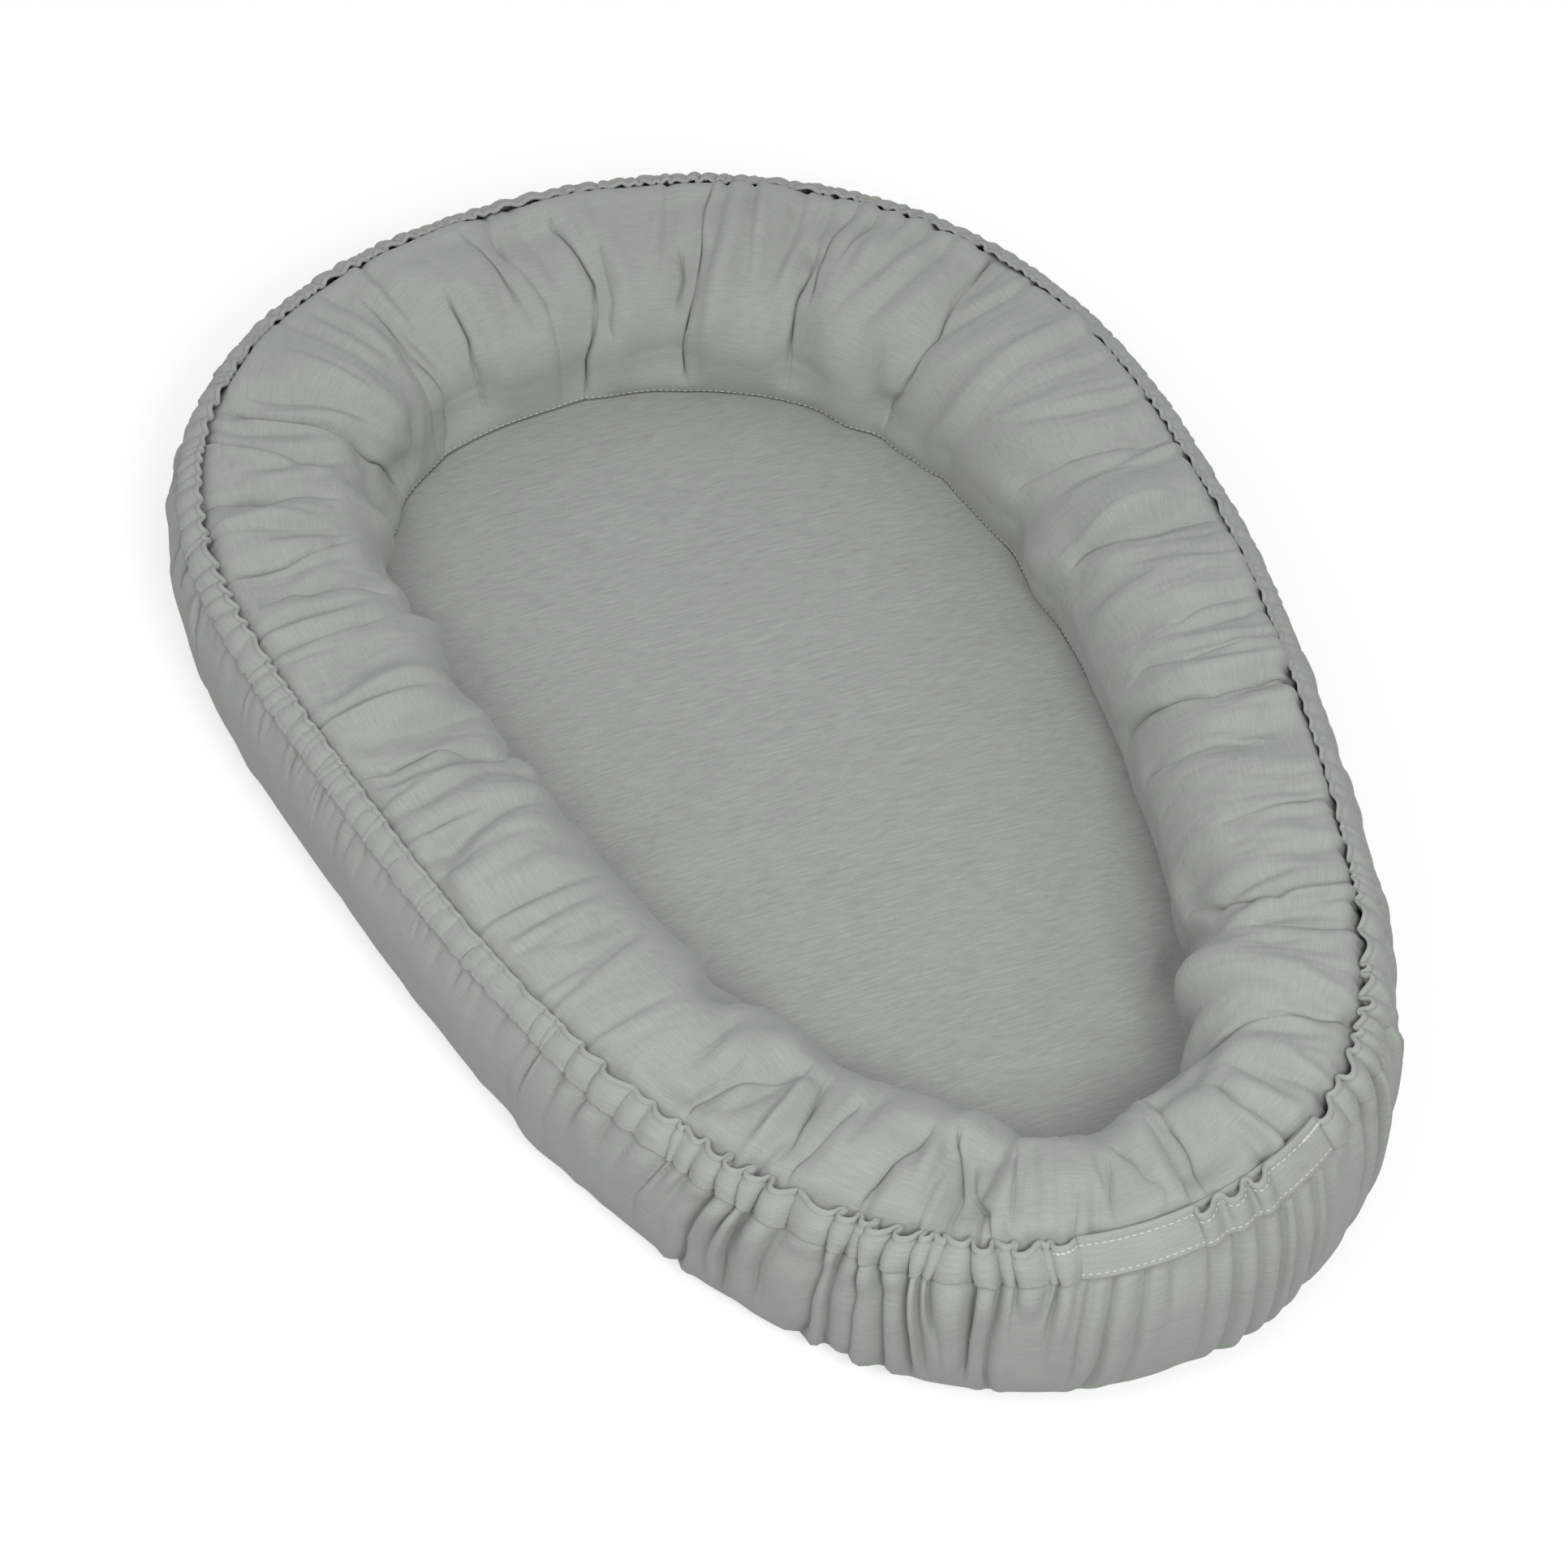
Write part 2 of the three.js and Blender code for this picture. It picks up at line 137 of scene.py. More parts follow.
# %% The section of the ring
def half_width(angle):
    turn = np.radians(angle)
    return (BUMPER_HALF_WIDTH + HEAD_FATTER * np.cos(turn) + ENDS_FATTER * np.cos(2 * turn)
            + DIAGONAL_FATTER * np.sin(2 * turn))


def half_height(angle):
    turn = np.radians(angle)
    return (BUMPER_HALF_HEIGHT - FOOT_TALLER * np.cos(turn) + RIGHT_TALLER * np.sin(turn)
            - DIAGONAL_TALLER * np.sin(2 * turn))


def ring_point(angle, section, out=0.0):
    """A point on the ring, out metres above its surface. All three may be arrays of one shape."""
    angle, section, out = np.broadcast_arrays(np.asarray(angle, float), section, out)
    sine, cosine = np.sin(np.radians(section)), np.cos(np.radians(section))
    power = np.where(sine < 0, BOTTOM_POWER, TOP_POWER)
    across = (half_width(angle) + out) * signed_power(cosine, power)
    tall = half_height(angle)
    plan = middle_line(angle) + outward_of(middle_line, angle) * across[..., None] + RING_CENTRE
    up = FLOOR_LIFT + tall + (tall + out) * signed_power(sine, power)
    return np.concatenate([plan, up[..., None]], -1)


def seam_section(angle):
    """Where the inner wall of the bumper meets the mattress, which dips at that seam."""
    tall = half_height(angle)
    drop = (FLOOR_LIFT + tall - MATTRESS_HEIGHT + SEAM_DIP) / tall
    return 180 + np.degrees(np.arcsin(drop ** (BOTTOM_POWER / 2)))


box_low, box_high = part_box("bumper_cover")
whole = ring_point(np.arange(0, 360, 2.0)[:, None], np.arange(-50, 180, 5.0)[None, :])
gap = np.abs(np.concatenate([whole.min((0, 1)) - box_low, whole.max((0, 1)) - box_high]))
print("the formula and the frame's cover differ by at most, mm:", (gap.max() / MM).round(1))

# %% [markdown]
# ## Camera, lamps and floor
#
# The camera is placed first, because it says how fine the cloth has to be. A long lens stands over
# two metres away, high in front of the foot end, and a little to the left. The light of the
# picture is that of a light tent: the world lights everything evenly, and a soft lamp beyond the
# foot end gives each fold a light side and a shaded side. It stands near, so that the head end gets
# less of it than the foot end. A weaker lamp on the left lights the sides of the creases that face it.
#
# The white ground is a trick for the camera only. Camera rays see pale paper that also glows, so
# it comes out white, but the shadow of the object still darkens it. Rays that only carry light see
# plain grey paper instead. World and floor share the nodes that tell those rays apart.

# %% The camera
CAMERA_TURN = math.radians(-25.81)
CAMERA_RISE = math.radians(47.91)
CAMERA_ROLL = math.radians(-2.05)
CAMERA_DISTANCE = 2.221
CAMERA_TARGET = (-39.5 * MM, -42.6 * MM, 66 * MM)
LENS = 95.3
SENSOR = 36

scene = bpy.context.scene
back = Vector((math.sin(CAMERA_TURN) * math.cos(CAMERA_RISE),
               -math.cos(CAMERA_TURN) * math.cos(CAMERA_RISE), math.sin(CAMERA_RISE)))
target = Vector(CAMERA_TARGET) + Vector((*RING_CENTRE, 0))
camera = bpy.data.objects.new("camera", bpy.data.cameras.new("camera"))
scene.collection.objects.link(camera)
camera.data.lens = LENS
camera.data.sensor_width = SENSOR
camera.location = target + back * CAMERA_DISTANCE
camera.rotation_mode = "QUATERNION"
level = (-back).to_track_quat("-Z", "Y")
camera.rotation_quaternion = level @ Quaternion((0, 0, 1), CAMERA_ROLL)
scene.camera = camera
print("camera at, m:", [round(x, 3) for x in camera.location])

# %% Node helpers
def new_node(tree, kind, **values):
    """A new node, with a value for each socket that is named."""
    node = tree.nodes.new(kind)
    for socket, value in values.items():
        node.inputs[socket].default_value = value
    return node


def maths(tree, operation, *values):
    """A maths node. Each value is a number or the output of another node."""
    node = tree.nodes.new("ShaderNodeMath")
    node.operation = operation
    for socket, value in zip(node.inputs, values):
        if isinstance(value, (int, float)):
            socket.default_value = value
        else:
            tree.links.new(value, socket)
    return node.outputs[0]


def split_by_ray(tree, plain, shown, output):
    """Rays that only carry light get the plain shader, and the camera's rays get the shown one."""
    rays = tree.nodes.new("ShaderNodeLightPath").outputs
    seen = rays["Is Camera Ray"]
    for name in ("Is Glossy Ray", "Is Transmission Ray"):
        seen = maths(tree, "MAXIMUM", seen, rays[name])
    mixed = tree.nodes.new("ShaderNodeMixShader")
    for value, socket in zip((seen, plain.outputs[0], shown.outputs[0]), mixed.inputs):
        tree.links.new(value, socket)
    tree.links.new(mixed.outputs[0], tree.nodes.new(output).inputs["Surface"])


def empty_tree(owner):
    """The node tree of a world or a material, with no nodes in it."""
    owner.use_nodes = True
    owner.node_tree.nodes.clear()
    return owner.node_tree


print("node helpers ready")

# %% World and lamps
WORLD_LEVEL = 0.56
TENT_COLOUR = (0.98, 0.99, 1.0, 1)
WHITE = (1, 1, 1, 1)
# Name, place in metres and watts of each soft lamp.
LAMPS = [("foot_lamp", (-0.4, -1.8, 1.7), 22), ("left_lamp", (-1.2, -0.5, 1.7), 6)]
LAMP_SIDE = 0.65
LAMP_AIM = (0, 0, 0.05)

scene.view_settings.view_transform = "Standard"
world = bpy.data.worlds.new("light_tent")
scene.world = world
tree = empty_tree(world)
split_by_ray(tree, new_node(tree, "ShaderNodeBackground", Color=TENT_COLOUR, Strength=WORLD_LEVEL),
             new_node(tree, "ShaderNodeBackground", Color=WHITE), "ShaderNodeOutputWorld")

for name, place, watts in LAMPS:
    light = bpy.data.lights.new(name, "AREA")
    light.shape, light.size, light.energy = "SQUARE", LAMP_SIDE, watts
    lamp = bpy.data.objects.new(name, light)
    scene.collection.objects.link(lamp)
    lamp.location = place
    lamp.rotation_mode = "QUATERNION"
    lamp.rotation_quaternion = (Vector(LAMP_AIM) - Vector(place)).to_track_quat("-Z", "Y")
print("world level", WORLD_LEVEL, "and", len(LAMPS), "lamps")

# %% The floor
FLOOR_SIZE = 12
PLAIN_GREY = (0.4, 0.4, 0.4, 1)
SHOWN_GREY = (0.62, 0.62, 0.62, 1)
FLOOR_GLOW = 0.55

bpy.ops.object.select_all(action="DESELECT")
bpy.ops.mesh.primitive_plane_add(size=FLOOR_SIZE, location=(0, 0, 0))
floor = bpy.context.object
floor.name = "floor"

paper = bpy.data.materials.new("pale_floor")
tree = empty_tree(paper)
shown = tree.nodes.new("ShaderNodeAddShader")
for part, socket in zip((new_node(tree, "ShaderNodeBsdfDiffuse", Color=SHOWN_GREY),
                         new_node(tree, "ShaderNodeEmission", Strength=FLOOR_GLOW)), shown.inputs):
    tree.links.new(part.outputs[0], socket)
split_by_ray(tree, new_node(tree, "ShaderNodeBsdfDiffuse", Color=PLAIN_GREY), shown,
             "ShaderNodeOutputMaterial")
floor.data.materials.append(paper)
print("floor laid at z = 0")

# %% [markdown]
# ## The knit
#
# The cover is a fine cotton jersey. Seen closely it has three marks: thin slubs, where the yarn is
# a little thicker and paler for a few centimetres, a fine heather of lighter and darker yarn, and
# the ribs of the knit itself. All of them come from one node group, so that the cover, the skirt,
# the hem and the mattress panel are cut from the same cloth. The pattern is laid out in metres. On
# the gathered cloths it reads the piece's own flat map, so the knit follows the folds. On the flat
# panels it reads the place in the object.

# %% The jersey node group
# Spots per metre along and across the yarn, detail, and how much each noise shades the colour.
YARN_NOISE = {"slub": ((75, 1000, 1000), 3, 0.26), "thick": ((120, 480, 480), 2, 0.10),
              "heather": ((900, 1500, 1500), 1, 0.22), "cloud": ((14, 20, 20), 2, 0.08)}
# These two are as strong as the material says.
SLUB_NOISE = ("slub", "thick")
# The ribs along X and Y of the map, in radians per metre, and their height beside the slub's.
WALES, COURSES = 4600, 6300
KNIT_HEIGHT = 0.08


def stretched_noise(tree, vector, scales, detail):
    """Noise with its own number of spots per metre along each axis."""
    stretch = tree.nodes.new("ShaderNodeVectorMath")
    stretch.operation = "MULTIPLY"
    stretch.inputs[1].default_value = scales
    tree.links.new(vector, stretch.inputs[0])
    noise = new_node(tree, "ShaderNodeTexNoise", Scale=1, Detail=detail)
    tree.links.new(stretch.outputs[0], noise.inputs["Vector"])
    return noise.outputs["Fac"]


def shaded(tree, colour, shade):
    """A colour times a shade. The colour is a value or the output of another node."""
    paint = tree.nodes.new("ShaderNodeVectorMath")
    paint.operation = "SCALE"
    if isinstance(colour, tuple):
        paint.inputs[0].default_value = colour[:3]
    else:
        tree.links.new(colour, paint.inputs[0])
    tree.links.new(shade, paint.inputs["Scale"])
    return paint.outputs[0]


def jersey_group():
    group = bpy.data.node_groups.new("jersey_knit", "ShaderNodeTree")
    for name, way, kind in (("Place", "INPUT", "Vector"), ("Yarn", "INPUT", "Color"),
                            ("Slub", "INPUT", "Float"), ("Color", "OUTPUT", "Color"),
                            ("Height", "OUTPUT", "Float")):
        group.interface.new_socket(name, in_out=way, socket_type="NodeSocket" + kind)
    given = group.nodes.new("NodeGroupInput").outputs
    noises = {name: stretched_noise(group, given["Place"], scales, detail)
              for name, (scales, detail, _) in YARN_NOISE.items()}
    shade = 1.0
    for name, (_, _, amount) in YARN_NOISE.items():
        centred = maths(group, "SUBTRACT", noises[name], 0.5)
        if name in SLUB_NOISE:
            centred = maths(group, "MULTIPLY", centred, given["Slub"])
        shade = maths(group, "MULTIPLY_ADD", centred, amount, shade)
    parts = group.nodes.new("ShaderNodeSeparateXYZ")
    group.links.new(given["Place"], parts.inputs[0])
    wales, courses = [maths(group, "SINE", maths(group, "MULTIPLY", parts.outputs[axis], turns))
                      for axis, turns in (("X", WALES), ("Y", COURSES))]
    knit = maths(group, "MULTIPLY", wales, courses)
    result = group.nodes.new("NodeGroupOutput").inputs
    group.links.new(shaded(group, given["Yarn"], shade), result["Color"])
    group.links.new(maths(group, "MULTIPLY_ADD", knit, KNIT_HEIGHT, noises["slub"]), result["Height"])
    return group


JERSEY = jersey_group()
print("the jersey group has", len(JERSEY.nodes), "nodes")

# %% [markdown]
# ## Finishes
#
# The same recipe makes each cloth: the group gives the colour and the height of the yarn, a bump
# turns the height into relief, and the roughness and sheen stay plain numbers on the shader. Thread,
# fibre and elastic have no knit: one noise gives both their shade and their relief.

# %% Cloth, thread and fibre
SHEEN_ROUGHNESS = 0.5
SPECULAR = 0.3
JERSEY_FINISH = {"roughness": 0.86, "sheen": 0.12}
JERSEY_RELIEF = {"depth": 0.25 * MM, "strength": 0.45}
# Finish, detail, how much the noise shades the colour, the shade where there is none, and relief.
THREAD = ({"roughness": 0.6, "sheen": 0.1}, 2, 0.3, 0.85, {"depth": 0.15 * MM, "strength": 0.6})
FIBRE = ({"roughness": 0.95, "sheen": 0.2}, 6, 0.16, 0.9, {"depth": 1.5 * MM, "strength": 0.6})
THREAD_SPOTS = 1600


def srgb(red, green, blue):
    """A colour as it is seen, from 0 to 255, in the linear values that a shader takes."""
    share = np.array([red, green, blue]) / 255
    linear = np.where(share <= 0.04045, share / 12.92, ((share + 0.055) / 1.055) ** 2.4)
    return (*[float(x) for x in linear], 1)


def cloth_material(name, roughness, sheen):
    material = bpy.data.materials.new(name)
    material.use_nodes = True
    shader = material.node_tree.nodes["Principled BSDF"].inputs
    shader["Roughness"].default_value = roughness
    shader["Sheen Weight"].default_value = sheen
    shader["Sheen Roughness"].default_value = SHEEN_ROUGHNESS
    shader["Specular IOR Level"].default_value = SPECULAR
    return material, material.node_tree, shader


def paint_and_relief(tree, shader, colour, height, depth, strength):
    tree.links.new(colour, shader["Base Color"])
    bump = new_node(tree, "ShaderNodeBump", Distance=depth, Strength=strength)
    tree.links.new(height, bump.inputs["Height"])
    tree.links.new(bump.outputs["Normal"], shader["Normal"])


def jersey_material(name, yarn, slub, on_map=True, turn=0.0):
    material, tree, shader = cloth_material(name, **JERSEY_FINISH)
    turned = new_node(tree, "ShaderNodeMapping", Rotation=(0, 0, turn))
    place = tree.nodes.new("ShaderNodeTexCoord").outputs["UV" if on_map else "Object"]
    tree.links.new(place, turned.inputs["Vector"])
    knit = tree.nodes.new("ShaderNodeGroup")
    knit.node_tree = JERSEY
    knit.inputs["Yarn"].default_value = yarn
    knit.inputs["Slub"].default_value = slub
    tree.links.new(turned.outputs["Vector"], knit.inputs["Place"])
    paint_and_relief(tree, shader, knit.outputs["Color"], knit.outputs["Height"], **JERSEY_RELIEF)
    return material


def noise_material(name, colour, spots, kind):
    finish, detail, shading, plain, bump = kind
    material, tree, shader = cloth_material(name, **finish)
    place = tree.nodes.new("ShaderNodeTexCoord").outputs["Object"]
    noise = stretched_noise(tree, place, (spots, spots, spots), detail)
    shade = maths(tree, "MULTIPLY_ADD", noise, shading, plain)
    paint_and_relief(tree, shader, shaded(tree, colour, shade), noise, **bump)
    return material


SAGE = srgb(165, 171, 163)
cover_cloth = jersey_material("sage_jersey", SAGE, slub=1.2)
mattress_cloth = jersey_material("sage_jersey_flat", SAGE, slub=1.9, on_map=False, turn=math.radians(8))
cover_thread = noise_material("sage_thread", srgb(168, 174, 166), THREAD_SPOTS, THREAD)
pale_thread = noise_material("pale_thread", srgb(222, 226, 218), THREAD_SPOTS, THREAD)
lining_cloth = jersey_material("lining_cloth", srgb(228, 227, 220), slub=0.3)
fibre = noise_material("fibre_fill", srgb(240, 239, 233), 120, FIBRE)
elastic_weave = noise_material("elastic_weave", srgb(238, 238, 235), 900, FIBRE)
print(len(bpy.data.materials), "materials")

# %% [markdown]
# ## Cloth as a grid
#
# Each sheet here is a grid of points: columns run round the ring and rows run across it. The rows
# of a sheet go out along one face and come back along the other, so its rims are closed without any
# further work. One helper turns such a grid into a mesh. It joins the last row to the first, and
# the last column too unless the sheet is a strip with two ends. The flat map is written at the same
# time, from the length of cloth that was used so far. Values that change round the ring come from
# tables, and lie on a straight line between two entries.

# %% Grid helpers
def smooth(value, low, high):
    """0 up to the low value, 1 from the high one on, and a soft step between them."""
    share = np.clip((np.asarray(value, float) - low) / (high - low), 0, 1)
    return share * share * (3 - 2 * share)


def bell(distance, width):
    """A soft bump: 1 in its middle and about a third one width away."""
    return np.exp(-(distance / width) ** 2)


def ring_value(table, turn, column=1):
    """A table's value at ring angles. The first column of every table is the ring angle."""
    return np.interp(turn % 360, [row[0] for row in table], [row[column] for row in table])


def ring_values(table, turn, *columns):
    """Several columns of a table at one ring angle."""
    return [float(ring_value(table, turn, column)) for column in columns]


def path_lengths(line):
    """How far along a line each of its points lies."""
    return np.concatenate([[0], np.cumsum(np.linalg.norm(np.diff(line, axis=0), axis=-1))])


def closed_line(points):
    return np.concatenate([points, points[:1]])


def grid_normals(points, wrap_columns=True):
    """Unit normals of a grid of points, out of the cloth."""
    if wrap_columns:
        along = np.roll(points, -1, 0) - np.roll(points, 1, 0)
    else:
        along = np.gradient(points, axis=0)
    normals = np.cross(along, np.gradient(points, axis=1))
    return normals / np.maximum(np.linalg.norm(normals, axis=-1, keepdims=True), 1e-12)


def signed_volume(mesh):
    """Negative when the faces of a closed mesh point inwards."""
    mesh.calc_loop_triangles()
    corners = np.empty(len(mesh.loop_triangles) * 3, np.int32)
    mesh.loop_triangles.foreach_get("vertices", corners)
    places = np.empty(len(mesh.vertices) * 3, np.float32)
    mesh.vertices.foreach_get("co", places)
    a, b, c = places.reshape(-1, 3)[corners].reshape(-1, 3, 3).astype(float).transpose(1, 0, 2)
    return float(np.einsum("ij,ij->i", a, np.cross(b, c)).sum() / 6)


def new_piece(name, points, faces, material, flat_map=None):
    """A piece with smooth shading, whose faces point outwards."""
    mesh = bpy.data.meshes.new(name)
    mesh.from_pydata([tuple(p) for p in points], [], [tuple(f) for f in faces])
    mesh.materials.append(material)
    if flat_map is not None:
        layer = mesh.uv_layers.new(name="flat")
        layer.data.foreach_set("uv", np.asarray(flat_map, np.float32).ravel())
    mesh.polygons.foreach_set("use_smooth", [True] * len(mesh.polygons))
    if signed_volume(mesh) < 0:
        mesh.flip_normals()
    mesh.update()
    piece = bpy.data.objects.new(name, mesh)
    scene.collection.objects.link(piece)
    return piece


def grid_piece(name, points, material, wrap_columns=True):
    """A closed mesh from points[column, row], with its flat map in metres of cloth."""
    columns, rows = points.shape[:2]
    bands = columns - (not wrap_columns)
    c, r = [x.ravel() for x in np.meshgrid(np.arange(bands), np.arange(rows), indexing="ij")]
    after, above = (c + 1) % columns, (r + 1) % rows
    faces = np.stack([c * rows + r, c * rows + above, after * rows + above, after * rows + r], -1)
    used = cloth_used(points, wrap_columns)
    corners = np.stack([used[c, r], used[c, r + 1], used[c + 1, r + 1], used[c + 1, r]], 1)
    if not wrap_columns:
        ends, end_map = strip_ends(columns, rows, used)
        faces, corners = np.concatenate([faces, ends]), np.concatenate([corners, end_map])
    return new_piece(name, points.reshape(-1, 3), faces, material, corners)


def strip_ends(columns, rows, used):
    """Faces that close the two ends of a strip whose rows go out and come back."""
    faces, places = [], []
    for column, turned in ((0, False), (columns - 1, True)):
        for r in range(rows // 2 - 1):
            face = [r, rows - 1 - r, rows - 2 - r, r + 1]
            face = face[::-1] if turned else face
            faces.append([column * rows + x for x in face])
            places.append([used[column, x] for x in face])
    return np.array(faces), np.array(places)


def cloth_used(points, wrap_columns):
    """How much cloth lies before each point, along the columns and along the rows."""
    grown = np.concatenate([points, points[:, :1]], 1)
    if wrap_columns:
        grown = np.concatenate([grown, grown[:1]], 0)
    round_it = np.linalg.norm(np.diff(grown, axis=0), axis=-1).mean(1)
    across = np.linalg.norm(np.diff(grown, axis=1), axis=-1).mean(0)
    u = np.concatenate([[0], np.cumsum(round_it)])
    v = np.concatenate([[0], np.cumsum(across)])
    return np.stack(np.meshgrid(u, v, indexing="ij"), -1)


def with_thickness(face, thickness, keep_every=1):
    """The rows of a sheet: out along its face, and back along the inner face with fewer of them."""
    inner = face - grid_normals(face) * thickness
    chosen = inner[:, ::keep_every]
    if (face.shape[1] - 1) % keep_every:
        chosen = np.concatenate([chosen, inner[:, -1:]], 1)
    return np.concatenate([face, chosen[:, ::-1]], 1)


def stands_for(piece, node):
    """The piece replaces this node of the frame: it is hung from the root, and the node is hidden."""
    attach(piece, "root")
    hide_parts(node)


print("grid helpers ready")

# %% [markdown]
# ## The creases of the bumper cover
#
# The cover is a straight tube of cloth that was bent into a ring and gathered at its seams, so it
# has too much length everywhere. The fill takes it up in puffs, and between the puffs the cloth
# tucks into deep creases that run across the ring. They are the first thing that the eye finds, so
# they are listed one by one: each has a path as (ring angle, section angle) pairs, a depth, the width
# of the slopes beside it, and how far one side leans over the other. Depth, width and lean are in
# millimetres.

# %% The creases, listed one by one
CREASES = [
    # The head, from its middle to the right shoulder.
    ([(4.2, 77), (6, 100), (6.8, 120), (6.2, 140), (5.4, 160), (4.2, 180), (3.2, 199)], 10, 13, 2.6),
    ([(8, 100), (8.2, 137), (7.4, 156)], 3.6, 8, 1.0),
    ([(17.2, 104), (17.5, 125), (16.8, 145)], 4.4, 9, -1.2),
    ([(20.2, 67), (20, 108), (19.2, 138), (18, 175), (17.8, 182)], 13, 14, 4.0),
    ([(34.2, 100), (34.8, 114), (34.2, 128), (34.8, 159), (35.2, 180)], 10.5, 13, -3.0),
    ([(36.2, 69), (35.8, 98), (36.4, 113), (37, 127)], 6.5, 10, 2.0),
    ([(39, 77), (38.4, 100)], 4.0, 10, 1.2),
    ([(52.8, 60), (54.5, 91), (56.8, 121), (57.2, 152), (56.5, 169), (54.2, 182)], 10, 13, -3.6),
    # The right side.
    ([(85, 61), (83.8, 102), (82.2, 131), (80.8, 154)], 3.6, 10, 1.8),
    ([(93.5, 58), (93.2, 100), (92.8, 119), (91.8, 143)], 6.0, 11, 3.0),
    ([(102.8, 60), (103.5, 88), (104.5, 107)], 2.6, 9, -1.4),
    ([(109.5, 89), (109.5, 112), (107.2, 138)], 3.0, 9, 1.6),
    ([(112.5, 51), (113.8, 104), (112, 135), (108.4, 177)], 6.5, 11, -3.2),
    ([(120.5, 95), (119.2, 136), (116.8, 164)], 3.6, 10, 2.0),
    ([(128.8, 52), (130.2, 102), (130, 120)], 3.6, 10, -2.0),
    # The right end of the foot.
    ([(142.8, 97), (139.8, 139), (135.5, 162)], 5.5, 11, 2.2),
    ([(144.8, 51), (145.2, 112)], 3.2, 9, -1.8),
    ([(157, 52), (159, 90), (161, 120), (164, 158)], 8.5, 13, -4.0),
    # The foot.
    ([(174, 66), (173.5, 82), (173, 105)], 4.6, 8, 1.5),
    ([(181.2, 58), (180.5, 87), (180.2, 104), (179.2, 133)], 9.0, 10, 3.8),
    ([(182.8, 62), (182.2, 88), (182, 108)], 3.0, 6, 1.6),
    ([(185, 56), (184.6, 66), (185.8, 76), (186.2, 87), (187.4, 99)], 3.2, 7, 1.6),
    ([(189.8, 61), (188.8, 93)], 2.2, 8, -1.0),
    ([(193.8, 51), (193.2, 64), (192.8, 78)], 3.0, 7, -1.6),
    ([(199.2, 66), (199.5, 102)], 3.4, 9, 1.0),
    ([(200.8, 52), (201.2, 65), (203, 77), (204.4, 100)], 4.0, 7, -2.2),
    ([(205, 49), (204.6, 76), (205.4, 91), (206.8, 107)], 10.5, 12, 3.4),
    ([(213.5, 51), (212.8, 65), (211.8, 82), (210, 104)], 5.4, 9, -2.0),
    ([(220.4, 55), (219, 105)], 4.0, 9, -1.2),
    ([(222, 68), (224, 116)], 4.2, 10, 1.4),
    ([(231.5, 62), (230, 88), (228.8, 97), (226.5, 114)], 8.5, 12, -3.6),
    ([(233.2, 74), (231.6, 88), (231.4, 96)], 3.0, 7, 1.6),
    # The left side.
    ([(275, 52), (274, 68), (274, 98), (272, 135)], 5.5, 11, 1.5),
    ([(291.5, 53), (290.8, 88), (291.2, 114)], 4.4, 10, 1.4),
    ([(298, 68), (298, 83), (297, 95), (295.5, 134)], 5.6, 10, -2.0),
    ([(303.2, 56), (302.5, 86), (303.8, 112), (304.8, 123)], 6.5, 10, 2.4),
    # The left shoulder and back to the head's middle.
    ([(313.5, 51), (314, 74), (313, 85), (312.5, 120)], 7.5, 12, -2.6),
    ([(326.5, 58), (325.8, 83), (325.5, 128), (326.5, 160), (330, 181)], 12, 15, 4.0),
    ([(335.2, 157), (334, 175), (333, 185)], 6, 10, 1.6),
    ([(343, 125), (342.8, 140), (342.4, 158), (341.8, 185)], 5.2, 9, 1.4),
    ([(344.8, 92), (344.4, 125), (344.8, 148), (345.2, 168), (344.8, 184), (343.4, 195)], 10, 13, -3.0),
    ([(352, 108), (352.2, 135), (351.4, 153), (351.5, 182)], 8.5, 12, 2.6),
    ([(357, 72), (358.2, 94), (358.8, 141)], 5, 12, 1.4),
    ([(359.2, 83), (360.2, 111), (360.8, 131)], 4.2, 10, -1.2),
]
# A crease fades over so many degrees at its ends. The seam holds it flat by this share, from the
# first of two section angles to the second, and the hem by its own share.
CREASE_ENDS = 11
SEAM_HOLDS = 0.85
SEAM_HOLD_FROM, SEAM_HOLD_TO = 178, 202
HEM_HOLDS = 0.55
HEM_HOLD_FROM, HEM_HOLD_TO = 66, 48


def crease_angle(path, section):
    """The ring angle of a crease at a section angle, held past its ends."""
    rings, sections = zip(*path)
    return np.interp(section, sections, rings)


def crease_strength(path, section):
    """1 along the crease, fading past its ends and where the seam or the hem holds it flat."""
    low, high = path[0][1], path[-1][1]
    return (smooth(section, low - CREASE_ENDS, low + CREASE_ENDS / 2)
            * (1 - smooth(section, high - CREASE_ENDS / 2, high + CREASE_ENDS))
            * (1 - SEAM_HOLDS * smooth(section, SEAM_HOLD_FROM, SEAM_HOLD_TO))
            * (1 - HEM_HOLDS * smooth(-section, -HEM_HOLD_FROM, -HEM_HOLD_TO)))


print(len(CREASES), "creases, the deepest", max(depth for _, depth, *_ in CREASES), "mm")

# %% [markdown]
# ## The cover's grid
#
# The rows are even steps along the section, from the mattress seam over the crown to the inside of
# the skirt. The columns bend with the creases, so that each crease lies exactly on one line of
# points and can be as sharp as cloth. The first columns beside a crease stand very close to it, and
# the others are a few millimetres apart.

# %% Rows and columns of the cover
ROW_STEP = 2.8 * MM
COLUMN_STEP = 1.7 * MM
BESIDE_CREASE = [0.7 * MM, 1.7 * MM, 3.2 * MM]
SEAM_BLEND = 175
COVER_LOWEST = -56
# The ring angle whose section counts as the usual one.
USUAL_TURN = 250.0


def even_sections(low, high, step):
    """Section angles from high to low, evenly spaced along the cloth at the usual place."""
    fine = np.linspace(high, low, 2000)
    length = path_lengths(ring_point(USUAL_TURN, fine))
    count = max(2, int(round(length[-1] / step)))
    return np.interp(np.linspace(0, length[-1], count + 1), length, fine)


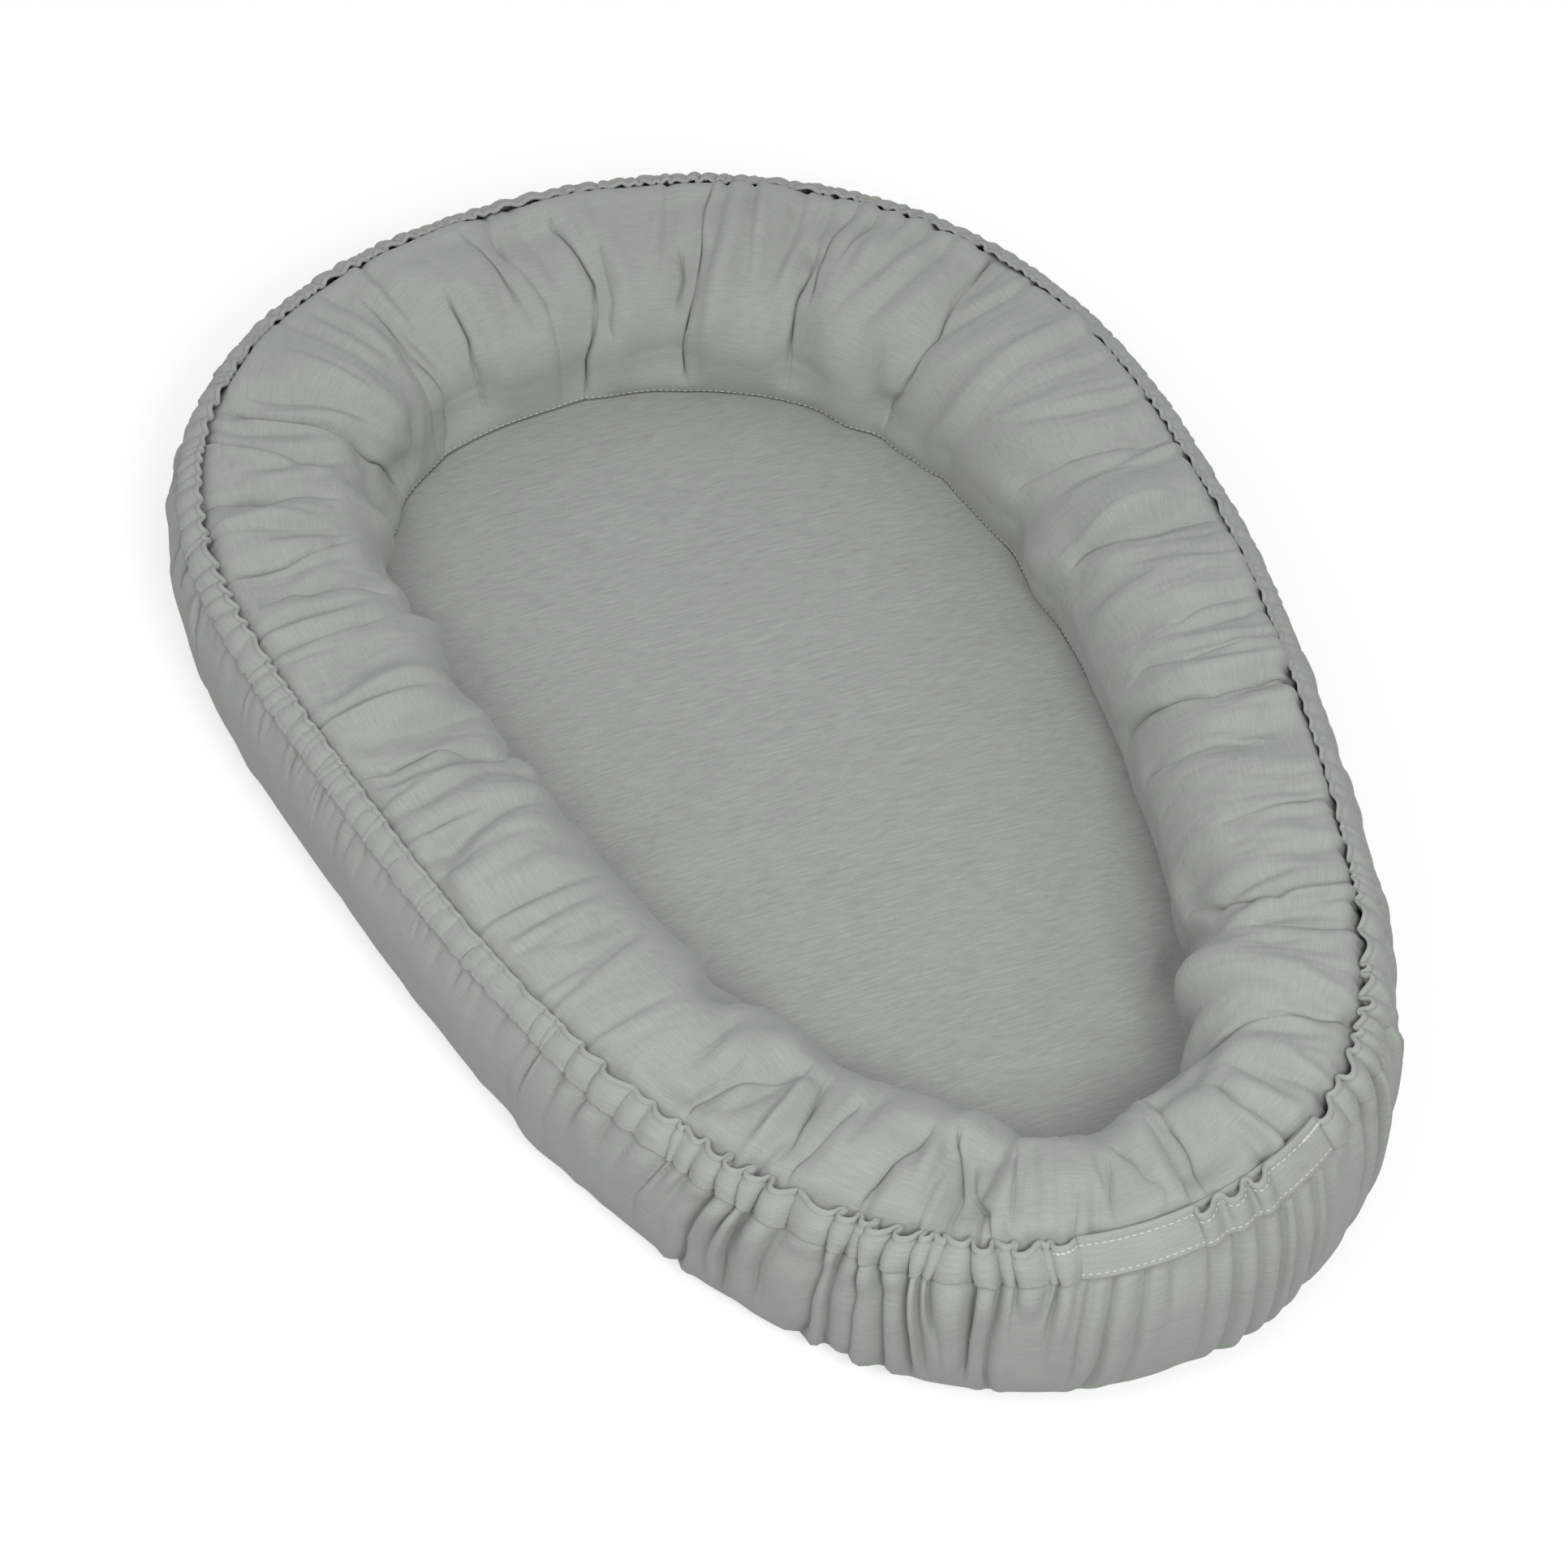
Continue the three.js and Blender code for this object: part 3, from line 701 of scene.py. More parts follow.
USUAL_SEAM = float(seam_section(np.array(USUAL_TURN)))
cover_rows = even_sections(COVER_LOWEST, USUAL_SEAM, ROW_STEP)


def row_sections(angles):
    """The rows' section angles at ring angles[column, row]. The first rows reach the seam there."""
    past = np.clip((cover_rows - SEAM_BLEND) / (USUAL_SEAM - SEAM_BLEND), 0, None)
    reach = seam_section(angles) - SEAM_BLEND
    return np.where(cover_rows > SEAM_BLEND, SEAM_BLEND + past * reach, cover_rows)


def shares_between(length):
    """Where the columns stand between two creases, from 0 up to but not including 1."""
    beside = [d for d in BESIDE_CREASE if d < length / 3]
    count = max(1, int(round((length - 2 * beside[-1]) / COLUMN_STEP)))
    inner = beside[-1] + (length - 2 * beside[-1]) * np.arange(1, count) / count
    stops = [0, *beside, *inner, *[length - d for d in reversed(beside)]]
    return np.array(stops) / length


def crease_columns():
    """Ring angles of every point, [column, row]."""
    at_rows = np.array([crease_angle(path, cover_rows) for path, *_ in CREASES])
    nexts = np.concatenate([at_rows[1:], at_rows[:1] + 360])
    columns = []
    for here, there in zip(at_rows, nexts):
        middle = np.linspace(here.mean(), there.mean(), 40)
        length = np.linalg.norm(np.diff(ring_point(middle, 90), axis=0), axis=-1).sum()
        columns += [here + (there - here) * share for share in shares_between(length)]
    return np.array(columns)


cover_angles = crease_columns()
cover_sections = row_sections(cover_angles)
print("cover grid:", cover_angles.shape, "points")

# %% [markdown]
# ## Creases and wrinkles as a height
#
# The cover starts as the plain ring with its creases pressed in, and dented a little where the hem
# grips it. Between the creases it gets folds that come out of the hem, soft swells of the lumpy
# fill, and many low wrinkles. All of them run across the ring, each with its own place, slant and
# bow, and they fade at their ends. How close together they lie changes round the ring: the long
# sides have the most folds and wrinkles, and the head is stretched nearly smooth.

# %% Height of the creases and wrinkles
HEM_DENT = 1.4 * MM
DENT_ENDS = 60
UNDER_SKIRT_DENT = 4 * MM
BULGE_AT, BULGE_REACH = 61, 7
# The cover bulges over the hem: ring angle and height in millimetres.
HEM_BULGE = [(0, 3.2), (45, 4.0), (130, 4.0), (160, 2.0), (300, 1.6), (335, 2.8), (360, 3.2)]
# The fold of the hem lies nearer to the crown at the head and on the right: ring angle and degrees.
FOLD_RISES = [(0, 5), (40, 4), (70, 2.5), (130, 2), (155, 0), (320, 0), (345, 4), (360, 5)]
# The inner wall draws back towards the seam: ring angle and millimetres.
UNDERCUT = [(0, 2), (60, 4), (90, 8), (150, 8), (200, 4), (240, 5), (300, 5), (330, 2), (360, 2)]
UNDERCUT_FROM, UNDERCUT_TO = 168, 205
# Ring angle, the usual distance between folds and their depth in millimetres, and where they end.
FOLDS = [(0, 30, 3.4, 140), (30, 28, 4.0, 150), (55, 22, 4.2, 150), (75, 18, 4.8, 145), (100, 17, 5.0, 138),
         (145, 17, 5.0, 128), (170, 18, 4.4, 112), (205, 18, 4.6, 108), (235, 22, 5.0, 118),
         (258, 19, 5.4, 132), (275, 16, 6.0, 136), (300, 16, 5.8, 140), (318, 20, 4.8, 142),
         (345, 28, 3.8, 145), (360, 30, 3.4, 140)]
# The folds beside each other run alike. Ring angle, slant in degrees per degree, and bow in thousandths.
FOLD_RUN = [(0, 0, 0), (30, 0.02, -0.3), (90, 0.05, -0.7), (150, 0.04, -0.6), (170, 0, 0), (206, 0, 0),
            (240, -0.02, 0.2), (265, -0.03, 0.4), (300, -0.03, 0.5), (330, -0.02, 0.3), (360, 0, 0)]
FOLD_NARROW_SHARE = 0.5
# How deep the folds are at the hem, as a share of their depth on the crown, by ring angle.
FOLD_AT_HEM = [(0, 0.6), (45, 0.45), (130, 0.45), (155, 1), (235, 0.9), (252, 0.3), (300, 0.3),
               (325, 0.5), (360, 0.6)]
# How deep a fold is beside the usual depth, how often each comes, and how many folds start at the
# hem.
FOLD_DEPTHS, FOLD_DEPTH_SHARES = [0.25, 0.45, 0.8, 1.25], [0.25, 0.3, 0.27, 0.18]
FOLDS_FROM_HEM = 0.6
# Up from the hem, a fold gets its full width and its full depth over so many degrees.
FOLD_WIDENS, FOLD_DEEPENS = 45, 26
# A ridge stands on one side of a fold: its share of the depth, and its place in widths of the fold.
RIDGE_SHARE, RIDGE_AT = 0.45, 1.5
VALLEY_POWER = 1.25
SWELLS = 230
# Ring angle and the most that a swell rises or sinks, in millimetres.
SWELL_RISE = [(0, 6), (50, 5.6), (90, 5.4), (150, 5.6), (200, 6.6), (235, 7.6), (300, 8.2), (330, 7.4),
              (360, 6)]
# Swells are drawn between these widths in millimetres, and reaches and middles in degrees of section.
SWELL_WIDTHS, SWELL_REACHES, SWELL_MIDDLES = (9, 20), (18, 48), (60, 185)
# The form of a crease, in shares of its width and depth: its two sides, the slope at the crease,
# the wide hollow between two puffs, and the brow over the steep side.
STEEP_SIDE, GENTLE_SIDE = 0.5, 1.35
SLOPE_WIDTH, SLOPE_POWER = 0.9, 1.1
PUFF_WIDTH, PUFF_SHARE = 2.3, 0.55
BROW_AT, BROW_WIDTH, BROW_SHARE = 0.9, 0.8, 0.32
# Ring angle, wrinkles per metre of ring, and their height in millimetres.
WRINKLES = [(0, 70, 0.8), (30, 80, 1.0), (60, 110, 1.2), (100, 130, 1.4), (140, 130, 1.4),
            (160, 110, 1.4), (190, 110, 1.6), (225, 100, 1.5), (250, 110, 1.5), (275, 140, 1.7),
            (300, 140, 1.7), (325, 100, 1.3), (345, 80, 1.0), (360, 70, 0.8)]
# Where wrinkles lie, as middle and spread in degrees of section, and the share of each kind. Then
# their widths in millimetres and their reaches in degrees of section.
WRINKLE_PLACES, WRINKLE_SHARES = [(72, 14), (100, 24), (140, 16)], [0.5, 0.35, 0.15]
WRINKLE_WIDTHS, WRINKLE_REACHES = (4, 8), (12, 38)


def turn_from(angles, path):
    """Degrees round the ring from a path to each point, the shorter way."""
    return (angles - path + 180) % 360 - 180


def along_ring(angles, sections):
    """Metres of cloth for one degree round the ring, at each point."""
    step = 0.5
    return np.linalg.norm(ring_point(angles + step, sections)
                          - ring_point(angles - step, sections), axis=-1) / (2 * step)


def crease_terms(angles, sections):
    """Each crease's strength, the distance of each point from it, and its depth, width and lean."""
    metres = along_ring(angles, sections)
    for path, depth, width, lean in CREASES:
        turn = turn_from(angles, crease_angle(path, sections))
        yield crease_strength(path, sections), turn * metres, depth * MM, width * MM, lean * MM


def fold_run(turn, draw):
    """Slant and bow of a fold: nearly those of the folds beside it."""
    slant, bow = ring_values(FOLD_RUN, turn, 1, 2)
    return slant + draw.normal(0, 0.012), (bow + draw.normal(0, 0.25)) / 1000


def draw_folds():
    """The folds: ring angle, first and last section, slant, bow, width, depth and skew."""
    draw = np.random.default_rng(19)
    turn, made = 0.0, []
    while turn < 360:
        spacing, depth, last = ring_values(FOLDS, turn, 1, 2, 3)
        metre = float(along_ring(np.array(turn), np.array(60.0)))
        turn += MM * (0.45 * spacing + draw.exponential(0.55 * spacing)) / metre
        first = HEM_FOLD if draw.uniform() < FOLDS_FROM_HEM else draw.uniform(62, 96)
        last = max(last + draw.normal(0, 16), first + 30)
        slant, bow = fold_run(turn, draw)
        width = draw.uniform(4, 8)
        depth = depth * draw.choice(FOLD_DEPTHS, p=FOLD_DEPTH_SHARES)
        made.append((turn, first, last, slant, bow, width, depth, draw.uniform(0.6, 1.6)))
    return made


def fold_height(angles, sections):
    """All folds as a height: narrow where they leave the hem, and wide and soft where they end."""
    out = np.zeros_like(angles)
    metres = along_ring(angles, sections)
    for turn, first, last, slant, bow, width, depth, skew in draw_folds():
        off = sections - HEM_FOLD
        distance = turn_from(angles, turn + slant * off + bow * off ** 2) * metres / MM
        wide = width * (FOLD_NARROW_SHARE + (1 - FOLD_NARROW_SHARE) * smooth(off, 0, FOLD_WIDENS))
        fade = 1 - smooth(sections, first + 0.4 * (last - first), last)
        at_hem = float(ring_value(FOLD_AT_HEM, turn))
        fade = fade * (at_hem + (1 - at_hem) * smooth(off, 0, FOLD_DEEPENS))
        if first > HEM_FOLD:
            fade = fade * smooth(sections, first - 16, first + 10)
        skewed = wide * np.where(distance > 0, skew, 1 / skew)
        valley = np.exp(-(np.abs(distance) / skewed) ** VALLEY_POWER)
        side = 1 if skew > 1 else -1
        ridge = bell(distance + side * RIDGE_AT * wide, wide)
        out -= depth * MM * fade * (valley - RIDGE_SHARE * ridge)
    return out


def swelling(angles, sections):
    """The fill is lumpy: broad swells that run across the ring, as the folds do."""
    draw = np.random.default_rng(3)
    metres, out = along_ring(angles, sections), np.zeros_like(angles)
    for _ in range(SWELLS):
        turn, middle = draw.uniform(0, 360), draw.uniform(*SWELL_MIDDLES)
        width, reach = draw.uniform(*SWELL_WIDTHS) * MM, draw.uniform(*SWELL_REACHES)
        rise = float(ring_value(SWELL_RISE, turn)) * MM * draw.uniform(-1, 1)
        slant, bow = fold_run(turn, draw)
        slant += 2 * bow * (middle - HEM_FOLD)
        off = sections - middle
        distance = turn_from(angles, turn + slant * off + bow * off ** 2) * metres
        out += rise * bell(distance, width) * bell(off, reach)
    return out * smooth(sections, HEM_FOLD, HEM_FOLD + 15)


def creased_height(angles, sections):
    """The slopes beside each crease: steep with a brow on one side, gentle on the other."""
    out = fold_height(angles, sections) + swelling(angles, sections)
    out -= HEM_DENT * (1 - smooth(sections, HEM_FOLD - 4, DENT_ENDS))
    out -= UNDER_SKIRT_DENT * (1 - smooth(sections, HEM_LOWER + 2, HEM_FOLD - 4))
    bulge_at = BULGE_AT + ring_value(FOLD_RISES, angles)
    out += ring_value(HEM_BULGE, angles) * MM * bell(sections - bulge_at, BULGE_REACH)
    out -= ring_value(UNDERCUT, angles) * MM * smooth(sections, UNDERCUT_FROM, UNDERCUT_TO)
    for strength, distance, depth, width, lean in crease_terms(angles, sections):
        steep = distance * np.sign(lean) > 0
        wide = width * np.where(steep, STEEP_SIDE, GENTLE_SIDE)
        slope = np.exp(-(np.abs(distance) / (SLOPE_WIDTH * wide)) ** SLOPE_POWER)
        puff = bell(distance, PUFF_WIDTH * wide)
        brow = bell(distance * np.sign(lean) - BROW_AT * width, BROW_WIDTH * width)
        out -= depth * strength * ((1 - PUFF_SHARE) * slope + PUFF_SHARE * puff - BROW_SHARE * brow)
    return out


def draw_wrinkles():
    """Places the wrinkles: ring angle, section angle, reach, slant, bow, width and height."""
    draw = np.random.default_rng(7)
    turn, made = 0.0, []
    while turn < 360:
        density, height = ring_values(WRINKLES, turn, 1, 2)
        metre = float(along_ring(np.array(turn), np.array(90.0)))
        turn += draw.exponential(1 / density) / metre
        middle = draw.choice([draw.normal(*place) for place in WRINKLE_PLACES], p=WRINKLE_SHARES)
        slant, bow = fold_run(turn, draw)
        slant += 2 * bow * (middle - HEM_FOLD)
        reach, width = draw.uniform(*WRINKLE_REACHES), draw.uniform(*WRINKLE_WIDTHS)
        height = height * draw.choice([-1.6, 1]) * draw.uniform(0.5, 1.5)
        made.append((turn, middle, reach, slant, bow, width, height))
    return made


def wrinkle_height(angles, sections):
    """All wrinkles as a height."""
    out = np.zeros_like(angles)
    metres = along_ring(angles, sections)
    for turn, middle, reach, slant, bow, width, height in draw_wrinkles():
        off = sections - middle
        distance = turn_from(angles, turn + slant * off + bow * off ** 2) * metres
        out += height * MM * bell(distance, width * MM) * bell(off, reach)
    return out


base = ring_point(cover_angles, cover_sections)
base_out = grid_normals(base)
creased = base + base_out * creased_height(cover_angles, cover_sections)[..., None]
seeded = creased + base_out * wrinkle_height(cover_angles, cover_sections)[..., None]
print("cover seeded with", len(draw_wrinkles()), "wrinkles")

# %% [markdown]
# ## Letting the cover settle
#
# Cloth that is longer than the ring it lies on has to buckle. Blender's own cloth is one way to
# find that shape, but here the sheet is a plain grid, so a small cloth solver of a few lines is
# faster and gives the same result on every run. Each point is tied to its neighbours by springs:
# along the columns, along the rows, across both diagonals, and over two steps against sharp bends.
# The springs round the ring are a few hundredths longer than the ring itself. The fill is a soft
# bed that pushes back where the cloth sinks in, and the seam and the rows under the hem are held.

# %% Cloth solver
# Extra length round the ring, as (ring angle, share).
EXTRA_LENGTH = [(0, 0.012), (60, 0.025), (110, 0.03), (150, 0.03), (190, 0.035), (230, 0.03), (275, 0.03),
                (320, 0.02), (360, 0.012)]
# Steps along the columns and the rows, stiffness, and whether the spring only pushes apart.
SPRINGS = [(1, 0, 0.9, False), (0, 1, 0.9, False), (1, 1, 0.2, False), (1, -1, 0.2, False),
           (2, 0, 0.5, True), (5, 0, 0.5, True), (0, 2, 0.4, True), (0, 4, 0.3, True)]
BED_STIFFNESS = 0.0008
SETTLE_ROUNDS = 220
MOMENTUM = 0.85
MOVE_CAP = 9 * MM
HELD_BELOW = HEM_FOLD - 6


def row_slices(rows, across):
    """The rows where springs start and where they end."""
    return (slice(max(0, -across), rows - max(0, across)),
            slice(max(0, across), rows - max(0, -across)))


def rest_length(start, extra, along, across, pushes):
    """The unstretched length of each spring. Only cloth round the ring is longer than the ring."""
    low, high = row_slices(start.shape[1], across)
    straight = np.linalg.norm(np.roll(start, -along, 0)[:, high] - start[:, low], axis=-1)
    if not along or pushes:
        return straight
    grown = (extra[:, low] + np.roll(extra, -along, 0)[:, high]) / 2
    return straight * (1 + grown * (0.5 if across else 1))


def settle_cloth(points, start, outward, held, extra, rounds):
    """Where the points of the cloth come to rest. The springs take their lengths from start."""
    rests = [rest_length(start, extra, along, across, pushes) for along, across, _, pushes in SPRINGS]
    free = 1.0 - held[..., None]
    before = points
    for _ in range(rounds):
        moved = points + (points - before) * MOMENTUM
        before = points
        pull = np.zeros_like(points)
        for (along, across, stiffness, pushes), rest in zip(SPRINGS, rests):
            low, high = row_slices(points.shape[1], across)
            line = np.roll(moved, -along, 0)[:, high] - moved[:, low]
            length = np.linalg.norm(line, axis=-1)
            stretch = length - rest
            if pushes:
                stretch = np.minimum(stretch, 0)
            share = line * (stretch / np.maximum(length, 1e-9) * stiffness / 4)[..., None]
            pull[:, low] += share
            pull[:, high] -= np.roll(share, along, 0)
        sunk = ((moved - start) * outward).sum(-1, keepdims=True)
        pull -= outward * sunk * BED_STIFFNESS
        points = moved + pull * free
        points = np.where(held[..., None], start, points)
    return points


def capped(points, start, cap):
    """The points, none of them further than cap from where it started."""
    moved = points - start
    far = np.linalg.norm(moved, axis=-1, keepdims=True)
    return start + moved * np.minimum(1, cap / np.maximum(far, 1e-9))


held_points = np.zeros(cover_angles.shape, bool)
held_points[:, 0] = True
held_points[:, cover_rows < HELD_BELOW] = True
extra_cloth = ring_value(EXTRA_LENGTH, cover_angles) * smooth(cover_sections, 210, 150)
settled = seeded
settled = settle_cloth(seeded, creased, base_out, held_points, extra_cloth, SETTLE_ROUNDS)
far = np.linalg.norm(settled - seeded, axis=-1)
print("moved, mm: median", (np.median(far) / MM).round(1), "most", (far.max() / MM).round(1))
settled = capped(settled, seeded, MOVE_CAP)

# %% [markdown]
# ## Sharpening the creases
#
# Where two puffs meet, the cloth goes down in a narrow slit. One lip leans over it and throws a thin
# shadow, so the slit is the crease's own line of points, drawn in, and the points on one side of it
# rise and move over it. A crease isn't equally closed all along, so both come and go.

# %% The finished cover
SLIT_SHARE = 0.6
SLIT_WIDTH = 1.1 * MM
LIP_AT = 2.4 * MM
LIP_WIDTH = 2.2 * MM
LIP_RISE_SHARE = 0.3
# How closed a crease is goes up and down by this share. The wave's degrees of section for each
# radian, and the radians that a crease is ahead of the one before it.
OPEN_SHARE, OPEN_WAVE, OPEN_SHIFT = 0.4, 13, 2.4


def sharpen(points, angles, sections):
    outward = grid_normals(ring_point(angles, sections))
    onward = unit(ring_point(angles + 0.5, sections) - ring_point(angles - 0.5, sections))
    for number, (strength, distance, depth, _, lean) in enumerate(crease_terms(angles, sections)):
        wave = np.sin(sections / OPEN_WAVE + OPEN_SHIFT * number)
        closed = strength * (1 - OPEN_SHARE + OPEN_SHARE * wave)
        slit = closed * bell(distance, SLIT_WIDTH)
        lip = closed * bell(distance * np.sign(lean) - LIP_AT, LIP_WIDTH)
        sunk = SLIT_SHARE * depth * slit - LIP_RISE_SHARE * abs(lean) * lip
        points = points - outward * sunk[..., None] - onward * (lean * lip)[..., None]
    return points


cover_face = sharpen(settled, cover_angles, cover_sections)
bumper_cover = grid_piece("bumper_cover_cloth", with_thickness(cover_face, CLOTH, 3), cover_cloth)
stands_for(bumper_cover, "bumper_cover")
print("bumper cover:", len(bumper_cover.data.polygons), "faces")

# %% [markdown]
# ## What the cover is stuffed with
#
# The lining sleeve and the fibre roll don't show, but they carry the shape, and they have to stay
# inside the deepest creases. So they are cut from the cover's own points, moved inwards, and closed
# underneath along the frame's section.

# %% Lining sleeve and fibre roll
INNER_UNDER = [264, 248, 232, 214]
OUTER_UNDER = [-72, -86]
LINING_INSET = 2.2 * MM
LINING_THICKNESS = 0.8 * MM
ROLL_INSET = 3.4 * MM
COARSE = 4
NEARBY = 5


def lowest_nearby(height):
    """The least height within a few columns and rows of each point."""
    low = height.copy()
    for step in range(1, NEARBY + 1):
        low = np.minimum(low, np.minimum(np.roll(height, step, 0), np.roll(height, -step, 0)))
    beside = low.copy()
    for step in range(1, NEARBY + 1):
        low[:, step:] = np.minimum(low[:, step:], beside[:, :-step])
        low[:, :-step] = np.minimum(low[:, :-step], beside[:, step:])
    return low


cover_height = lowest_nearby(((cover_face - base) * base_out).sum(-1))


def roll_rows(inset):
    """Rows just inside the cover, all round the section, from the slot underneath and back to it."""
    angles, surface, outward, height = [grid[::COARSE, ::COARSE] for grid in
                                        (cover_angles, base, base_out, cover_height)]
    inner = surface + outward * (height[..., None] - inset)
    before = [ring_point(angles[:, 0], section, -inset) for section in INNER_UNDER]
    after = [ring_point(angles[:, -1], section, -inset) for section in OUTER_UNDER]
    return np.concatenate([np.stack(before, 1), inner, np.stack(after, 1)], 1)


lining_rows = roll_rows(LINING_INSET)
bumper_lining = grid_piece("bumper_lining_sleeve", with_thickness(lining_rows, LINING_THICKNESS),
                           lining_cloth)
stands_for(bumper_lining, "bumper_lining")
bumper_roll = grid_piece("bumper_fibre_roll", roll_rows(ROLL_INSET), fibre)
stands_for(bumper_roll, "bumper_fill")
print("lining and roll made")

# %% [markdown]
# ## The mattress
#
# The mattress is a thin pad under one flat panel. The panel is sewn to the foot of the bumper all
# round, so it dips to that seam and rises softly to its middle. It is a grid again, in polar form:
# columns run round it and rows run from the edge to the middle, which one fan of triangles closes.

# %% Mattress panel, pad and backing
PANEL_COLUMNS = 720
DIP_REACH = 26 * MM
RIM_REACH = 12 * MM
RIM_LIFT = 0.9 * MM
# Middle, direction in degrees, length and height in millimetres of each soft fold.
SOFT_FOLDS = [((-60, -250), 25, 70, 1.6), ((40, -262), -35, 60, 1.4), ((95, -150), 60, 80, 1.2),
              ((-100, 180), -50, 110, 0.9), ((60, 230), 30, 120, 0.9), ((20, 20), 8, 190, 0.6),
              ((-70, -40), -12, 150, 0.6), ((80, -225), 40, 45, 2.2)]
SOFT_FOLD_BOW, SOFT_FOLD_WIDTH, SOFT_FOLDS_FROM_EDGE = 0.0012, 9, 30 * MM
PANEL_ROWS = 60
# Moves a ring of points towards the middle, at the same height.
TO_MIDDLE = np.array([0.2, 0.2, 1])


def soft_folds(points):
    """Shallow folds of the panel, as a height in metres."""
    rise = np.zeros(points.shape[:-1])
    for middle, turn, length, height in SOFT_FOLDS:
        offset = (points[..., :2] - RING_CENTRE) / MM - middle
        c, s = math.cos(math.radians(turn)), math.sin(math.radians(turn))
        along = offset[..., 0] * c + offset[..., 1] * s
        across = offset[..., 1] * c - offset[..., 0] * s + SOFT_FOLD_BOW * along ** 2
        rise += height * MM * bell(along, length) * bell(across, SOFT_FOLD_WIDTH)
    return rise


def seam_shift(angles):
    """How far the cover's first row lies from the plain ring, because of the creases that end there."""
    shift = cover_face[:, 0] - base[:, 0]
    return np.stack([np.interp(angles, cover_angles[:, 0], shift[:, k], period=360) for k in range(3)], -1)


def at_height(points, height):
    """The same points at one height."""
    return np.concatenate([points[..., :2], np.full((*points.shape[:-1], 1), height)], -1)


def mattress_rings(shares, out, drop):
    """Rings of the mattress, [column, row], at shares of the way from its middle to its seam."""
    angles = np.arange(PANEL_COLUMNS) * 360 / PANEL_COLUMNS
    shift = seam_shift(angles)
    edge = ring_point(angles, seam_section(angles), out)[:, :2] + shift[:, :2]
    shares = np.asarray(shares)[None, :, None]
    plan = RING_CENTRE + (edge[:, None] - RING_CENTRE) * shares
    inside = np.linalg.norm(plan - edge[:, None], axis=-1)
    high = MATTRESS_HEIGHT + MATTRESS_CROWN * (1 - shares[..., 0] ** 2)
    high = high - SEAM_DIP * np.exp(-(inside / DIP_REACH)) - drop
    high = high + (shift[:, 2:] + RIM_LIFT) * np.exp(-(inside / RIM_REACH))
    points = np.concatenate([plan, high[..., None]], -1)
    points[..., 2] += soft_folds(points) * smooth(inside, 0, SOFT_FOLDS_FROM_EDGE)
    return points


def pillow(name, loops, material):
    """A closed body from rings that run from the top's middle to the bottom's middle."""
    columns, rows = loops.shape[:2]
    c, r = [x.ravel() for x in np.meshgrid(np.arange(columns), np.arange(rows - 1), indexing="ij")]
    after = (c + 1) % columns
    faces = list(np.stack([c * rows + r, c * rows + r + 1, after * rows + r + 1, after * rows + r], -1))
    points = list(loops.reshape(-1, 3)) + [loops[:, 0].mean(0), loops[:, -1].mean(0)]
    top = columns * rows
    for here in range(columns):
        there = (here + 1) % columns
        faces += [(top, here * rows, there * rows),
                  (top + 1, there * rows + rows - 1, here * rows + rows - 1)]
    return new_piece(name, points, faces, material)


top_shares = 1 - (np.arange(PANEL_ROWS) / PANEL_ROWS) ** 1.25
top_face = mattress_rings(top_shares[::-1], CLEARANCE, 0)
low_face = mattress_rings(top_shares[::4], CLEARANCE, CLOTH)
mattress_panel = pillow("mattress_panel_cloth", np.concatenate([top_face, low_face], 1), mattress_cloth)
stands_for(mattress_panel, "mattress_top_panel")
print("mattress panel:", len(mattress_panel.data.polygons), "faces")

under_low, under_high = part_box("mattress_backing")
pad_top = mattress_rings([0.12, 0.4, 0.7, 0.9, 1], CLOTH + CLEARANCE, CLOTH + CLEARANCE)
pad_side, backing_top, backing_low = [
    at_height(pad_top[:, -1:], height) for height in (under_high.z + CLEARANCE, under_high.z, under_low.z)]
pad = pillow("mattress_fibre_pad", np.concatenate([pad_top, pad_side, pad_side * TO_MIDDLE], 1), fibre)
stands_for(pad, "mattress_pad")
backing = pillow("mattress_backing_cloth", np.concatenate(
    [backing_top * TO_MIDDLE, backing_top, backing_low, backing_low * TO_MIDDLE], 1), lining_cloth)
stands_for(backing, "mattress_backing")
print("pad and backing made")

# %% [markdown]
# ## Gathers
#
# The elastic pulls about three metres of hem into little more than two, so the hem runs in loops
# instead of a line. Such a loop has a known form, the sine-generated curve: the cloth's direction
# swings to and fro like a pendulum, and past 90 degrees the loops lean over each other. Each gather
# has its own length along the ring and its own swing, in degrees. How tight they are changes round
# the ring, as (ring angle, length in millimetres, swing).

# %% How tight the hem is gathered
GATHERS = [
    (0, 9, 40), (14, 9, 44), (19, 8.5, 60), (24, 9, 40), (36, 9, 42), (44, 9.5, 62), (50, 10, 36),
    (60, 10, 26), (72, 9.5, 22), (80, 9, 32), (88, 9.5, 24), (96, 10, 18), (118, 10, 20), (132, 10, 30),
    (146, 10.5, 60), (158, 12, 74), (166, 14, 60), (193, 12, 74), (203, 11.5, 92), (215, 12, 94),
    (227, 13, 80), (236, 13, 44), (246, 12, 24), (264, 10, 18), (280, 10, 24), (292, 11, 50),
    (300, 11, 86), (308, 11.5, 60), (316, 11, 52), (326, 10, 44), (340, 9, 42), (360, 9, 40),
]
# Gathers differ: shares of the usual length and how often each comes, and shares of the usual swing.
LENGTH_SHARES, LENGTH_CHANCES = [0.5, 0.75, 1.0, 1.3, 1.9], [0.2, 0.25, 0.25, 0.2, 0.1]
SWING_SHARES = (0.55, 1.25)
MOST_SWING = 104
SHEAR = 0.75
